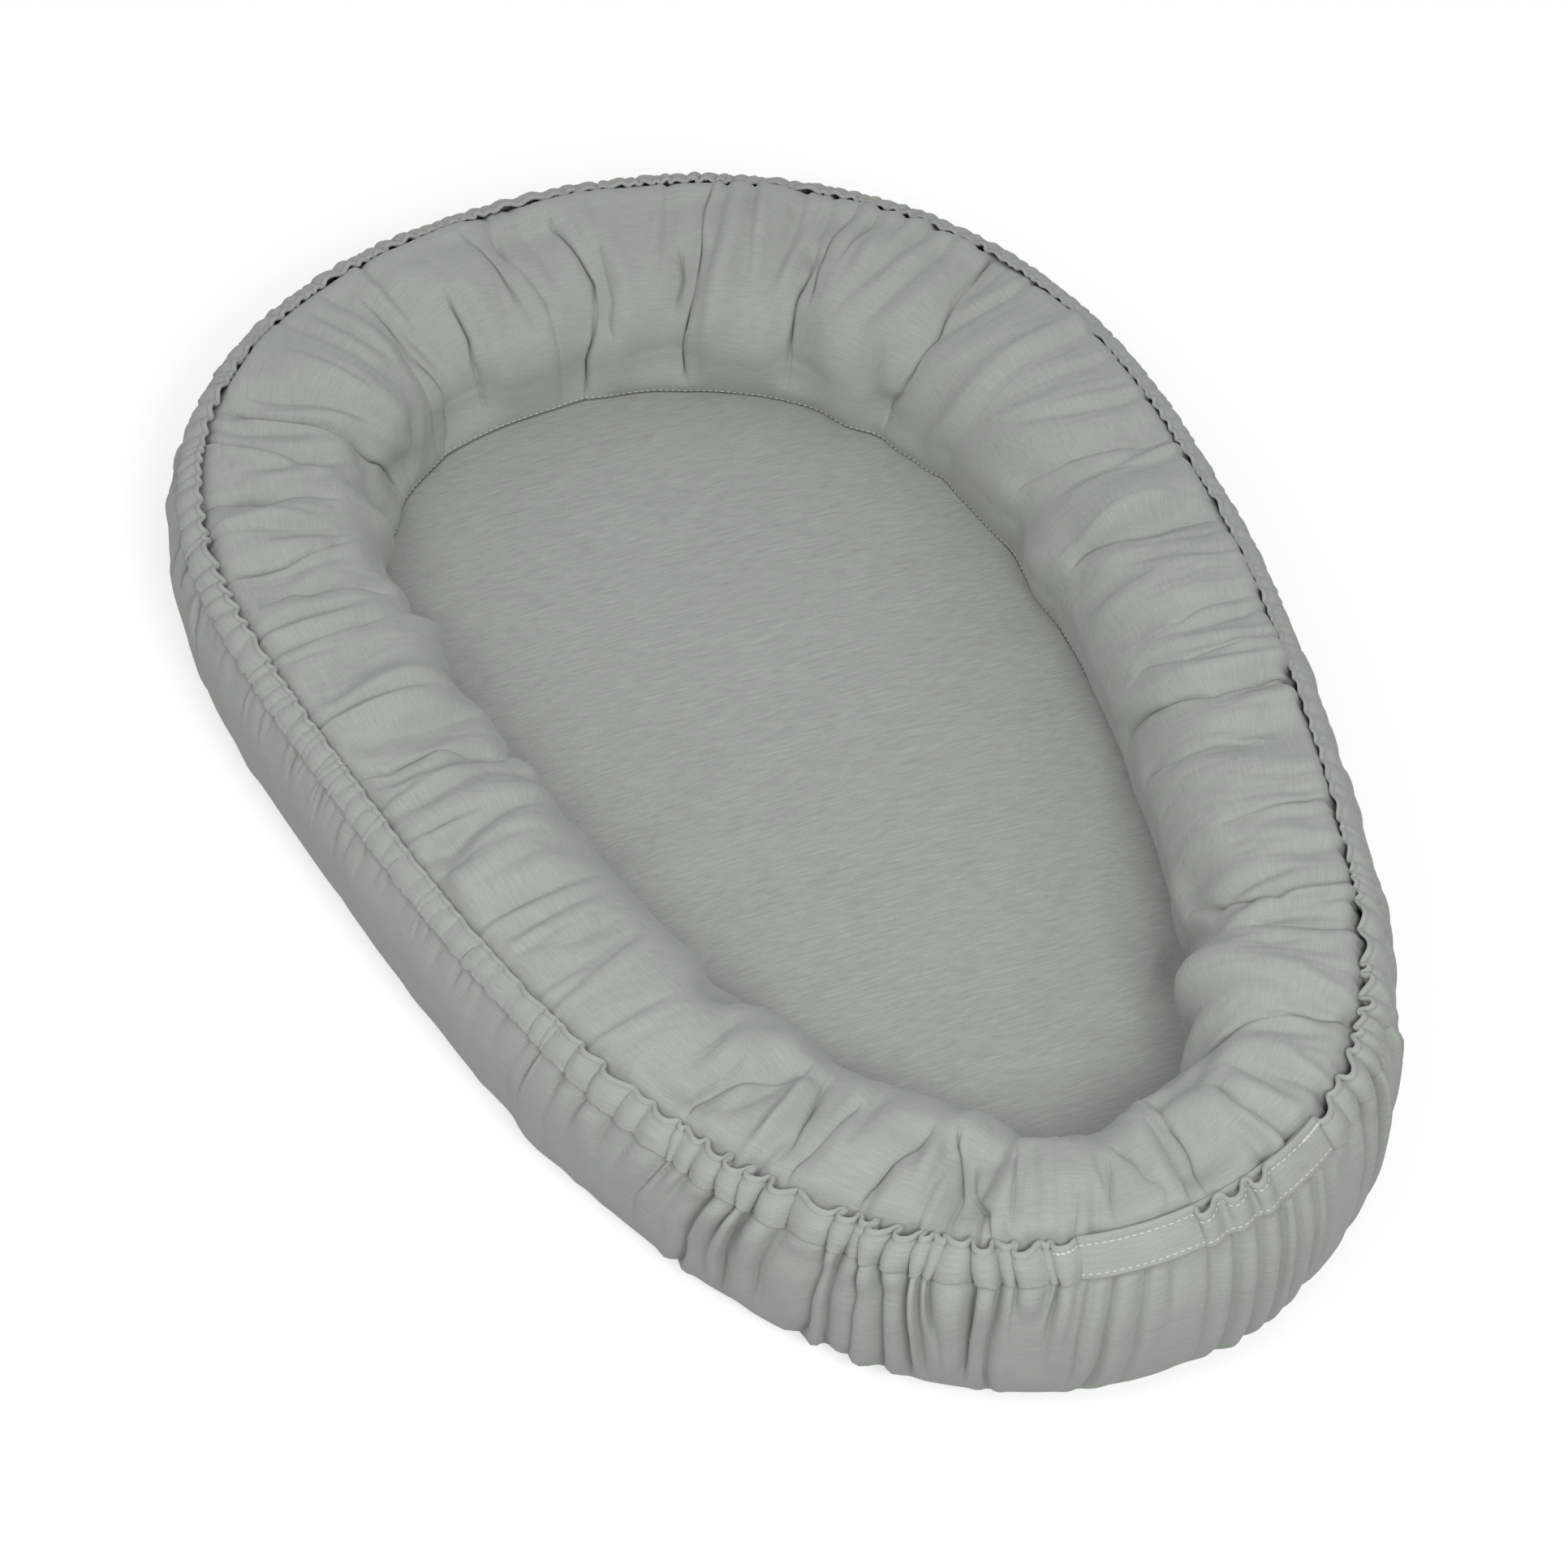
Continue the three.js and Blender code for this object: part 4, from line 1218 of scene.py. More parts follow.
# Ring angle, how wide and round the crests are, and the height of the tallest in millimetres.
CRESTS = [(0, 0.3, 3.2), (60, 0.1, 2.2), (130, 0.1, 2.4), (150, 0.4, 6), (165, 0.5, 8.4), (230, 0.6, 8.4),
          (242, 0.5, 5), (250, 0.3, 2.6), (285, 0.3, 2.8), (300, 0.5, 6), (314, 0.4, 5), (330, 0.3, 3.4),
          (360, 0.3, 3.2)]
CREST_SPREAD = 0.3
TALLEST_SHARES = (0.6, 1.1)
# Ring angle, and how far a crest leans outwards and down, in degrees. Under 0 it leans up, over the
# cover. The lean starts at this share of the hem's width.
CREST_LEANS_FROM = 0.15
CREST_LEANS = [(0, -10), (60, 4), (130, 8), (150, 30), (165, 44), (235, 44), (255, 14), (290, 22),
               (310, 20), (335, -6), (360, -10)]
MM_PER_SECTION = 1.05 * MM
VALLEY_DRIFT = 5 * MM
# A valley may come nearer to the one before it by this share of the gather's length.
DRIFT_SHARE = 0.45
COLUMNS_PER_GATHER = 12
# The step of the columns under the placket, where there are no gathers.
FLAT_STEP = 1.1 * MM
PLACKET_START = 193.4
PLACKET_END = 169.6
# The columns stand closer at the start of a gather, where its valley is.
EVEN_PHASES = np.arange(COLUMNS_PER_GATHER) / COLUMNS_PER_GATHER
PHASES = EVEN_PHASES - 0.5 * np.sin(2 * math.pi * EVEN_PHASES) / (2 * math.pi)
gather_draw = np.random.default_rng(23)

hem_turns = np.arange(-10, 730, 0.25)
hem_metres = path_lengths(ring_point(hem_turns, (HEM_FOLD + HEM_LOWER) / 2))


def metres_at(turn):
    return np.interp(turn, hem_turns, hem_metres)


def turn_at(metres):
    return np.interp(metres, hem_metres, hem_turns)


def gather_curve(length, swing, shear, crest, tallest):
    """One gather: the shift along the hem and the distance outwards, at each phase.

    A crest over 0 makes the crest wide and round and the valley narrow.
    """
    fine = np.linspace(0, 1, 241)
    swung = 2 * math.pi * fine
    heading = math.radians(swing) * np.sin(swung + crest * np.sin(swung))
    steps = [(part[1:] + part[:-1]) / 2 for part in (np.cos(heading), np.sin(heading))]
    x, y = [np.concatenate([[0], np.cumsum(step)]) for step in steps]
    x, y = [np.interp(PHASES, fine, values * length / x[-1]) for values in (x, y)]
    lower = min(1, tallest / max(y.max(), 1e-9))
    return (x - PHASES * length + shear * y) * lower, y * lower


def gather_columns():
    """The hem's columns, clockwise from the placket's start.

    For each: metres along the hem, shift, distance out, drift, and the number of its gather.
    """
    first, last = metres_at(PLACKET_START), metres_at(PLACKET_END + 360)
    lengths, swings = [], []
    while sum(lengths) < last - first:
        turn = turn_at(first + sum(lengths)) % 360
        usual, swing = ring_values(GATHERS, turn, 1, 2)
        lengths.append(usual * MM * gather_draw.choice(LENGTH_SHARES, p=LENGTH_CHANCES))
        swings.append(swing * gather_draw.uniform(*SWING_SHARES))
    lengths = np.array(lengths) * (last - first) / sum(lengths)
    drifts = np.append(gather_draw.uniform(-VALLEY_DRIFT, VALLEY_DRIFT, len(lengths)), 0)
    drifts[0] = 0
    for k in range(1, len(drifts)):
        drifts[k] = max(drifts[k], drifts[k - 1] - DRIFT_SHARE * lengths[k - 1])
    metres, shift, out, drift, number = [], [], [], [], []
    start = first
    for k, (length, swing) in enumerate(zip(lengths, swings)):
        shear = gather_draw.uniform(-SHEAR, SHEAR)
        crest, tallest = ring_values(CRESTS, float(turn_at(start)), 1, 2)
        crest += gather_draw.uniform(-CREST_SPREAD, CREST_SPREAD)
        tallest *= MM * gather_draw.uniform(*TALLEST_SHARES)
        along, away = gather_curve(length, min(swing, MOST_SWING), shear, crest, tallest)
        drift += list(drifts[k] + (drifts[k + 1] - drifts[k]) * PHASES)
        metres += list(start + PHASES * length)
        shift, out = shift + list(along), out + list(away)
        number += [k] * COLUMNS_PER_GATHER
        start += length
    flat = np.arange(metres_at(PLACKET_END + 360), metres_at(PLACKET_START + 360), FLAT_STEP)
    still = [0.0] * len(flat)
    return (np.array(metres + list(flat)), np.array(shift + still), np.array(out + still),
            np.array(drift + still), np.array(number + [-1] * len(flat)))


def crest_lean(turn, share):
    """How far a crest leans outwards and down at shares of the hem's width, [column, row]."""
    most = np.radians(ring_value(CREST_LEANS, turn))
    return most[:, None] * smooth(share, CREST_LEANS_FROM, 1)[None, :]


hem_at, hem_shift, hem_out, hem_drift, hem_gather = gather_columns()
gather_count = hem_gather.max() + 1
print(gather_count, "gathers in", len(hem_at), "columns, the tallest", round(hem_out.max() / MM, 1), "mm")

# %% [markdown]
# ## Pleats
#
# Some valleys of the gathers go on as pleats, through the casing and down the skirt: the cloth is
# pulled together there, so it goes in with a sharp groove and one side leans over it, while what
# lies between two pleats stays round. A pleat follows one column of points as far as it goes, so it
# stays sharp, and near the floor it fades. The columns themselves lean on their way down, as the
# pleats on the real skirt do.

# %% Which gathers go on as pleats
# Ring angle, the share of gathers that are pleats, their depth in millimetres, and how far down
# they go.
PLEATS = [(0, 0.3, 2.6, 0.6), (60, 0.3, 2.6, 0.6), (130, 0.5, 4.2, 0.9), (145, 0.9, 6.4, 1.3),
          (165, 0.9, 6.6, 1.4), (193, 0.8, 5.6, 0.9), (203, 0.9, 6.4, 1.2), (216, 0.9, 7.0, 1.3),
          (228, 0.6, 5.0, 0.9), (240, 0.3, 2.8, 0.5), (262, 0.2, 2.0, 0.4), (285, 0.3, 2.4, 0.5),
          (303, 0.4, 3.2, 0.6), (330, 0.3, 2.8, 0.5), (360, 0.3, 2.6, 0.6)]
# Under the placket they are listed one by one: ring angle, depth in millimetres, how far down, and lean.
PLACKET_PLEATS = [(170.5, 5.6, 1.3, 2.6), (172.3, 4.4, 1.0, -1.8), (174.2, 6.4, 1.3, 2.8),
                  (176.0, 5.4, 1.1, -2.2), (177.8, 6.6, 1.4, 3.0), (179.8, 5.8, 1.3, 2.6),
                  (182.0, 3.6, 0.8, 1.6), (185.6, 2.0, 0.5, 1.0), (188.2, 3.6, 0.9, -1.6),
                  (190.6, 5.4, 1.1, -2.4), (192.4, 4.0, 0.8, 1.8)]
# Ring angle, and how far a pleat leans clockwise from the hem to the floor, in millimetres.
PLEATS_LEAN = [(0, 5), (95, 0), (145, 4), (158, 16), (176, 10), (192, 16), (200, 2), (204, -4),
               (209, 6), (214, 24), (221, 34), (234, 34), (246, 20), (268, 10), (288, 0), (317, -10),
               (344, -4), (360, 5)]
# Any other gather has a weak pleat, of about this depth in millimetres.
WEAK_PLEAT = 1.2
# A pleat is at its full depth up to this share of its reach, and near the floor it loses most of it.
PLEAT_FULL = 0.35
FLOOR_LOSS, FLOOR_FROM, FLOOR_TO = 0.7, 0.65, 0.98
# In millimetres: the groove's width at the hem and what it gains on the way down, and the place and
# the width of the round beside it, which comes after its share of the depth.
GROOVE_WIDTH, GROOVE_WIDENS = 1.0, 1.6
ROUND_SHARE, ROUND_AT, ROUND_WIDTH = 0.35, 6, 4.5
LEAN_WIDTH = 2.2


def draw_pleats():
    """Metres along the hem, depth, reach and lean of each pleat, at the first column of its gather."""
    draw = np.random.default_rng(5)
    made = []
    for k in range(gather_count):
        at = hem_at[hem_gather == k][0]
        share, depth, reach = ring_values(PLEATS, float(turn_at(at)), 1, 2, 3)
        strong, lean = draw.uniform() < share, draw.choice([-1, 1]) * draw.uniform(0.5, 0.85)
        if strong:
            depth, reach = depth * draw.uniform(0.6, 1.3), reach * draw.uniform(0.4, 1.15)
        else:
            depth, reach = WEAK_PLEAT * draw.uniform(0.4, 1.4), draw.uniform(0.08, 0.3)
        made.append((at, depth, reach, lean * depth))
    flat = hem_at[hem_gather < 0][::2]
    for turn, *sizes in PLACKET_PLEATS:
        made.append((flat[np.argmin(np.abs(flat - metres_at(turn + 360)))], *sizes))
    return made


def pleat_terms(at, down):
    """Groove and sideways lean in metres, for columns at these metres and rows this far down."""
    groove, lean = np.zeros((len(at), len(down))), np.zeros((len(at), len(down)))
    whole = metres_at(PLACKET_START + 360) - metres_at(PLACKET_START)
    for place, depth, reach, leans in pleats:
        distance = np.abs((at - place + whole / 2) % whole - whole / 2)[:, None] / MM
        floor_loss = FLOOR_LOSS * smooth(down, FLOOR_FROM, FLOOR_TO)
        strength = ((1 - smooth(down, reach * PLEAT_FULL, reach)) * (1 - floor_loss))[None, :]
        wide = GROOVE_WIDTH + GROOVE_WIDENS * np.clip(down, 0, 1)[None, :]
        rounded = ROUND_SHARE * bell(distance - ROUND_AT, ROUND_WIDTH)
        groove += depth * MM * strength * (np.exp(-distance / wide) - rounded)
        lean += leans * MM * strength * np.exp(-distance / LEAN_WIDTH)
    return groove, lean


pleats = draw_pleats()
print(len(pleats), "pleats, the deepest", round(max(p[1] for p in pleats), 1), "mm")

# %% [markdown]
# ## The hem casing
#
# The casing is one cloth folded over the elastic. Its middle surface carries the gathers: full at
# the fold, and about half as high at the lower row of stitches. Both faces are then set off from
# it, wide apart where the elastic lies and close together at the stitches. Small puckers follow
# each row, and short wrinkles and lobes keep the face from being even. Under the placket the casing
# is flat and lies a little deeper.

# %% Casing
# The share of a gather that is left at the lower stitches, by ring angle.
LOWER_SHARES = [(0, 0.4), (130, 0.4), (150, 0.55), (165, 0.68), (235, 0.64), (250, 0.4), (360, 0.4)]
# The hem is narrower than the frame's band where it curls: ring angle, and how many degrees higher
# its lower edge lies.
HEM_RISES = [(0, 5), (40, 5), (70, 7), (130, 6), (150, 3.5), (206, 2.5), (240, 4), (250, 7), (290, 6.5),
             (330, 5), (360, 5)]
# How far the lower edge stands off the skirt: ring angle and millimetres.
EDGE_STANDS = [(0, 1), (60, 1), (150, 1), (206, 1.2), (235, 1.8), (250, 3), (300, 3), (330, 1.5), (360, 1)]
CASING_OUT = 1.2 * MM
UPPER_ROW_SHARE = 0.865
LOWER_ROW_SHARE = 0.045
# Half the thickness at shares of the width, from the free lower edge to the fold.
CASING_PROFILE = [(-0.03, 0.3), (0.0, 0.75), (LOWER_ROW_SHARE, 0.6), (0.16, 1.3), (0.34, 1.75),
                  (0.52, 1.85), (0.68, 1.7), (0.8, 1.3), (UPPER_ROW_SHARE, 0.6), (0.89, 1.05),
                  (0.94, 1.35), (1.0, 1.25), (1.04, 0.9), (1.06, 0.4)]
HEM_CLOTH = 0.8 * MM
CHANNEL_LEAST = 0.12 * MM
CHANNEL_ROWS = [0, 2, 5, 8, 11]
# How much of a pleat shows in the casing, by ring angle, and how much less of it at the fold. On
# the long sides the casing stays smooth and full.
PLEAT_LOST_AT_FOLD = 0.6
PLEAT_IN_CASING = [(0, 0.15), (130, 0.15), (150, 0.45), (195, 0.6), (235, 0.6), (250, 0.2), (290, 0.2),
                   (360, 0.15)]
UNDER_PLACKET = 1.2 * MM
# Lobes of the lower edge: lengths and drops in millimetres, the share of the width where they end,
# and where they are puffed, how far that reaches and by how much.
LOBE_LENGTHS, LOBE_DROPS, LOBE_POWER, LOBE_ENDS = (6, 15), (0.5, 1.9), 0.6, 0.7
PUFF_AT, PUFF_REACH, LOBE_PUFF = 0.42, 0.28, 0.3 * MM
STAND_ENDS = 0.8
# Where the fold of the hem is seen edge on, it is thinner: ring angle and share of its thickness.
# It gets so between these shares of the width.
THINNER_FROM, THINNER_TO = 0.6, 0.9
FOLD_THICKNESS = [(0, 1.1), (60, 0.75), (140, 0.7), (160, 1), (240, 0.8), (300, 0.85), (335, 1.0),
                  (360, 1.1)]
# Wrinkles of the casing: how many, at which shares of its width and how far from there. Then their
# slant and widths in millimetres, reaches in shares of the width, and heights in millimetres.
CASING_WRINKLES, WRINKLED_AT, WRINKLED_SPREAD = 900, [0.12, 0.45, 0.8], 0.1
FACE_SLANT, FACE_WIDTHS, FACE_REACHES, FACE_HEIGHTS = 9, (0.9, 2.2), (0.14, 0.34), (0.2, 0.55)
# The wrinkles fade towards the fold, between these shares of the width.
FACE_FADES, FACE_ENDS = 0.86, 0.98
PUCKER, PUCKER_LENGTH, PUCKER_REACH = 0.28 * MM, 5.5 * MM, 0.1
# The puckers are uneven: they run ahead and fall behind by so many radians, over such a length.
PUCKER_UNEVEN, UNEVEN_LENGTH = 1.7, 23 * MM
# The row of the profile whose length counts as the length of the cloth.
MEASURED_ROW = 8
column_turns = turn_at(hem_at)


def ring_column(table, turn):
    """A table's value at ring angles, as one column of a grid."""
    return ring_value(table, turn)[:, None]


def gather_share(turn, share):
    """How much of a gather shows at a share of the hem's width, [column, row]."""
    lowest = ring_column(LOWER_SHARES, turn)
    return lowest + (1 - lowest) * smooth(share, 0.0, 1.0)[None, :]


def hem_section(turn, share):
    """Section angles at shares of the hem's width, [column, row]."""
    lowest = HEM_LOWER + ring_column(HEM_RISES, turn)
    highest = HEM_FOLD + ring_column(FOLD_RISES, turn)
    return lowest + (highest - lowest) * share[None, :]


def draw_lobes():
    """The casing's lower edge hangs in lobes: how far at each column, in metres, and how full it is."""
    draw = np.random.default_rng(47)
    start, hang, full = hem_at[0], np.zeros(len(hem_at)), np.zeros(len(hem_at))
    while start < hem_at[-1]:
        length, drop = draw.uniform(*LOBE_LENGTHS) * MM, draw.uniform(*LOBE_DROPS) * MM
        share = (hem_at - start) / length
        arch = np.where((share > 0) & (share < 1), (4 * share * (1 - share)).clip(0) ** LOBE_POWER, 0)
        hang, full, start = hang + drop * arch, full + arch, start + length
    inside = (hem_gather >= 0) * smooth(hem_at - hem_at[0], 0, 10 * MM)
    return hang * inside, full * inside


lobe_hang, lobe_full = draw_lobes()


def hem_surface(shares, deeper=0.0):
    """The casing's middle surface, [column, row]."""
    shares = np.asarray(shares, float)
    size = gather_share(column_turns, shares)
    groove, lean = pleat_terms(hem_at, 0 * shares)
    under_placket = (hem_gather < 0)[:, None]
    shown = ring_column(PLEAT_IN_CASING, column_turns)
    groove = groove * shown * (1 - PLEAT_LOST_AT_FOLD * smooth(shares, 0, 1))
    groove = np.where(under_placket, UNDER_PLACKET, groove)
    lean = np.where(under_placket, 0, lean * shown)
    drift = hem_drift[:, None] * (1 - shares)[None, :].clip(0, 1)
    turn = turn_at(hem_at[:, None] + hem_shift[:, None] * size + lean + drift)
    leaning = crest_lean(column_turns, shares)
    away = hem_out[:, None] * size
    hang = lobe_hang[:, None] * (1 - smooth(shares, 0, LOBE_ENDS))[None, :]
    section = hem_section(column_turns, shares) - (away * np.sin(leaning) + hang) / MM_PER_SECTION
    stands = ring_column(EDGE_STANDS, column_turns) * MM * (1 - smooth(shares, 0, STAND_ENDS))[None, :]
    out = CASING_OUT + stands + away * np.cos(leaning) - groove - deeper
    return ring_point(turn, section, out)


def puckers(path, shares):
    """Small ripples along both rows of stitches."""
    wave = np.sin(2 * math.pi * path / PUCKER_LENGTH + PUCKER_UNEVEN * np.sin(path / UNEVEN_LENGTH))
    near = bell(shares - LOWER_ROW_SHARE, PUCKER_REACH) + bell(shares - UPPER_ROW_SHARE, PUCKER_REACH)
    return PUCKER * wave[:, None] * near[None, :]


def casing_wrinkles(shares):
    """Short slanted wrinkles of the casing's face, [column, row]."""
    draw = np.random.default_rng(61)
    out = np.zeros((len(hem_at), len(shares)))
    for _ in range(CASING_WRINKLES):
        place = draw.uniform(hem_at[0], hem_at[-1])
        share = draw.choice(WRINKLED_AT) + draw.normal(0, WRINKLED_SPREAD)
        slant, wide = draw.normal(0, FACE_SLANT) * MM, draw.uniform(*FACE_WIDTHS) * MM
        reach, rise = draw.uniform(*FACE_REACHES), draw.choice([-1.3, 1]) * draw.uniform(*FACE_HEIGHTS) * MM
        off = shares - share
        distance = hem_at[:, None] - place - slant * off[None, :]
        out += rise * bell(distance, wide) * bell(off, reach)[None, :]
    return out * (hem_gather >= 0)[:, None] * (1 - smooth(shares, FACE_FADES, FACE_ENDS))


def channel_rows(middle, normals, half):
    """The inside of the folded cloth: up the back and down the face, one cloth thinner."""
    room = np.maximum(half - HEM_CLOTH, CHANNEL_LEAST)[None, :, None]
    up_the_back, down_the_face = middle - normals * room, middle + normals * room
    return np.concatenate([up_the_back[:, CHANNEL_ROWS], down_the_face[:, CHANNEL_ROWS[::-1]]], 1)


shares, half = np.array(CASING_PROFILE).T
half = half * MM
casing_middle = hem_surface(shares)
casing_normals = -grid_normals(casing_middle)
cloth_path = path_lengths(closed_line(casing_middle[:, MEASURED_ROW]))
cloth_path, cloth_length = cloth_path[:-1], float(cloth_path[-1])
thinner = 1 - (1 - ring_column(FOLD_THICKNESS, column_turns)) * smooth(shares, THINNER_FROM, THINNER_TO)
puff = LOBE_PUFF * lobe_full[:, None] * bell(shares - PUFF_AT, PUFF_REACH)[None, :]
puff = puff + puckers(cloth_path, shares) + casing_wrinkles(shares)
casing_face = casing_middle + casing_normals * (half * thinner + puff)[..., None]
casing_back = casing_middle - casing_normals * (half * thinner)[..., None]
channel = channel_rows(casing_middle, casing_normals, half)
hem_casing = grid_piece("hem_casing_cloth", np.concatenate([casing_face, casing_back[:, ::-1], channel], 1),
                        cover_cloth)
stands_for(hem_casing, "hem_casing")
print("casing:", len(hem_casing.data.polygons), "faces, cloth length, m:", round(cloth_length, 2))

# %% [markdown]
# ## The elastic
#
# The elastic can't be seen, but it goes through the casing, so it has to follow the casing's middle
# surface, which the gathers move away from the frame's plain band.

# %% Elastic
ELASTIC_SHARES = [0.19, 0.46, 0.77]
ELASTIC_HALF = 0.5 * MM
band = hem_surface(ELASTIC_SHARES)[::2]
band_normals = -grid_normals(band)
hem_elastic = grid_piece("hem_elastic_band", np.concatenate(
    [band + band_normals * ELASTIC_HALF, (band - band_normals * ELASTIC_HALF)[:, ::-1]], 1), elastic_weave)
stands_for(hem_elastic, "hem_elastic")
print("elastic made")

# %% [markdown]
# ## The skirt
#
# The skirt hangs from the lower row of stitches, so it starts with the gathers of the hem and loses
# them downwards, where only the pleats go on. Between them it has the slack of any loose cloth: long
# shallow waves that lean.

# %% Skirt
SKIRT_LOWER = -58
SKIRT_ROW = 3.4 * MM
SKIRT_OUT = 2.4 * MM
SKIRT_AT_HEM = 0.4 * MM
SKIRT_INNERMOST = -3.2 * MM
# Soft waves of the skirt: how many, slant and widths in millimetres, reaches in shares of the
# skirt's height, and heights in millimetres.
SOFT_WAVES, WAVE_SLANT = 150, 45
WAVE_WIDTHS, WAVE_REACHES, WAVE_HEIGHTS = (6, 16), (0.15, 0.4), (0.4, 1.3)
# How far down the gathers go on in the skirt, as shares of its height and how often each comes.
GATHER_REACHES, REACH_CHANCES = [0.12, 0.2, 0.32, 0.5], [0.35, 0.3, 0.22, 0.13]
REACH_UNDER_PLACKET = 0.15
# Just below the hem the gathers swell by this share.
FLARE = 1.2
FLARE_FROM, FLARE_FULL, FLARE_TO = 0.12, 0.3, 0.9
skirt_rows = even_sections(SKIRT_LOWER, HEM_LOWER, SKIRT_ROW)
skirt_down = (HEM_LOWER - skirt_rows) / (HEM_LOWER - SKIRT_LOWER)
gather_reach = np.random.default_rng(9).choice(GATHER_REACHES, gather_count, p=REACH_CHANCES)
gather_reach = np.append(gather_reach, REACH_UNDER_PLACKET)


def soft_waves(turn, down):
    """Slack of the skirt, in metres outwards."""
    draw = np.random.default_rng(31)
    metres, out = metres_at(turn % 360), np.zeros_like(turn)
    length = metres_at(360.0) - metres_at(0.0)
    for _ in range(SOFT_WAVES):
        middle, height = draw.uniform(0, length), draw.uniform(0.15, 0.85)
        slant, width = draw.normal(0, WAVE_SLANT) * MM, draw.uniform(*WAVE_WIDTHS) * MM
        reach, rise = draw.uniform(*WAVE_REACHES), draw.choice([-1, 1]) * draw.uniform(*WAVE_HEIGHTS) * MM
        off = down - height
        distance = (metres - middle - slant * off + length / 2) % length - length / 2
        out += rise * bell(distance, width) * bell(off, reach)
    return out


def skirt_face():
    """The skirt from the lower row of stitches to the floor, at every other column of the hem."""
    at, turns, reach = hem_at[::2], column_turns[::2], gather_reach[hem_gather[::2]][:, None]
    size = ring_column(LOWER_SHARES, turns) * (1 - smooth(skirt_down[None, :], 0, 1.3 * reach))
    groove, lean = pleat_terms(at, skirt_down)
    slope = ring_column(PLEATS_LEAN, turns) * MM
    drift = hem_drift[::2, None] * (1 - smooth(skirt_down, 0, 0.5))[None, :]
    turn = turn_at(at[:, None] + hem_shift[::2, None] * size + lean + drift + slope * skirt_down)
    section = SKIRT_LOWER + (hem_section(turns, np.zeros(1)) - SKIRT_LOWER) * (1 - skirt_down)
    flare = 1 + FLARE * smooth(skirt_down, 0, FLARE_FROM) * (1 - smooth(skirt_down, FLARE_FULL, FLARE_TO))
    fixed = (1 - smooth(skirt_down, 0.75, 1))[None, :]
    swells = SKIRT_AT_HEM + (SKIRT_OUT - SKIRT_AT_HEM) * smooth(skirt_down, 0.02, 0.4)
    out = swells[None, :] + hem_out[::2, None] * size * flare[None, :] - groove
    out = out + soft_waves(turn, skirt_down[None, :]) * fixed
    return ring_point(turn, section, np.maximum(out, SKIRT_INNERMOST))


start_row = hem_surface([0.07], deeper=1.6 * MM)[::2]
skirt_cloth = np.concatenate([start_row, skirt_face()[:, 1:]], 1)
outer_skirt = grid_piece("outer_skirt_cloth", with_thickness(skirt_cloth, CLOTH, 3), cover_cloth)
stands_for(outer_skirt, "outer_skirt")
print("skirt:", len(outer_skirt.data.polygons), "faces")

# %% [markdown]
# ## The closing placket
#
# At the foot, the hem is closed by a strip that isn't gathered where it starts. It lies flat, then
# takes three tight turns where the elastic pulls it up, and ends in a flat tab with a free edge, so
# it can be lifted. Its top edge is rolled. It is the same kind of surface as the casing, only it
# has two ends, so the strip's ends are closed too.

# %% Placket
# Clockwise, from the free end: lengths in millimetres, swings in degrees and shears. The lengths
# are scaled together to fill the distance between the placket's two ends.
PLACKET_TURNS = [(38, 0, 0), (14.5, 94, 0.5), (17, 100, 0.3), (15, 96, 0.6), (60, 0, 0)]
PLACKET_OUT = 4.4 * MM
PLACKET_AT_START = 2.2 * MM
PLACKET_START_REACH = 12 * MM
PLACKET_LOWER_SHARE = 0.55
PLACKET_PROFILE = [(-0.03, 0.45), (0.02, 0.6), (0.1, 0.42), (0.3, 0.6), (0.5, 0.65), (0.7, 0.6),
                   (0.84, 0.42), (0.9, 0.8), (0.95, 1.2), (1.0, 1.35), (1.05, 1.05), (1.08, 0.5)]
PLACKET_UPPER_ROW = 6
PLACKET_LOWER_ROW = 2
PLACKET_MEASURED_ROW = 5
PLACKET_CREST, PLACKET_TALLEST = 0.3, 7 * MM
PLACKET_STEP = 2 * MM
# The strip waves a little towards its top edge: height, and metres for each radian.
STRIP_WAVE, STRIP_WAVE_LENGTH = 0.5 * MM, 9 * MM


def placket_columns():
    """The strip's columns: metres along the hem, shift and distance out."""
    first, last = metres_at(PLACKET_END), metres_at(PLACKET_START)
    share = (last - first) / (sum(t[0] for t in PLACKET_TURNS) * MM)
    metres, shift, out = [], [], []
    start = first
    for length, swing, shear in PLACKET_TURNS:
        length = length * MM * share
        if swing:
            along, away = gather_curve(length, swing, shear, PLACKET_CREST, PLACKET_TALLEST)
            metres += list(start + PHASES * length)
            shift, out = shift + list(along), out + list(away)
        else:
            count = int(round(length / PLACKET_STEP))
            metres += list(start + np.arange(count) / count * length)
            shift, out = shift + [0.0] * count, out + [0.0] * count
        start += length
    return np.array(metres + [last]), np.array(shift + [0.0]), np.array(out + [0.0])


placket_at, placket_shift, placket_away = placket_columns()
shares, half = np.array(PLACKET_PROFILE).T
half = (half * MM)[None, :, None]
size = (PLACKET_LOWER_SHARE + (1 - PLACKET_LOWER_SHARE) * smooth(shares, 0, 1))[None, :]
turn = turn_at(placket_at[:, None] + placket_shift[:, None] * size)
leaning = crest_lean(turn_at(placket_at), shares)
away = placket_away[:, None] * size
section = hem_section(turn_at(placket_at), shares) - away * np.sin(leaning) / MM_PER_SECTION
wave = STRIP_WAVE * np.sin(placket_at / STRIP_WAVE_LENGTH)[:, None] * smooth(shares, 0.3, 1)[None, :]
from_start = (placket_at[-1] - placket_at)[:, None]
sunk = (PLACKET_OUT - PLACKET_AT_START) * (1 - smooth(from_start, 0, PLACKET_START_REACH))
placket_middle = ring_point(turn, section, PLACKET_OUT + away * np.cos(leaning) + wave - sunk)
placket_normals = -grid_normals(placket_middle, wrap_columns=False)
placket_face = placket_middle + placket_normals * half
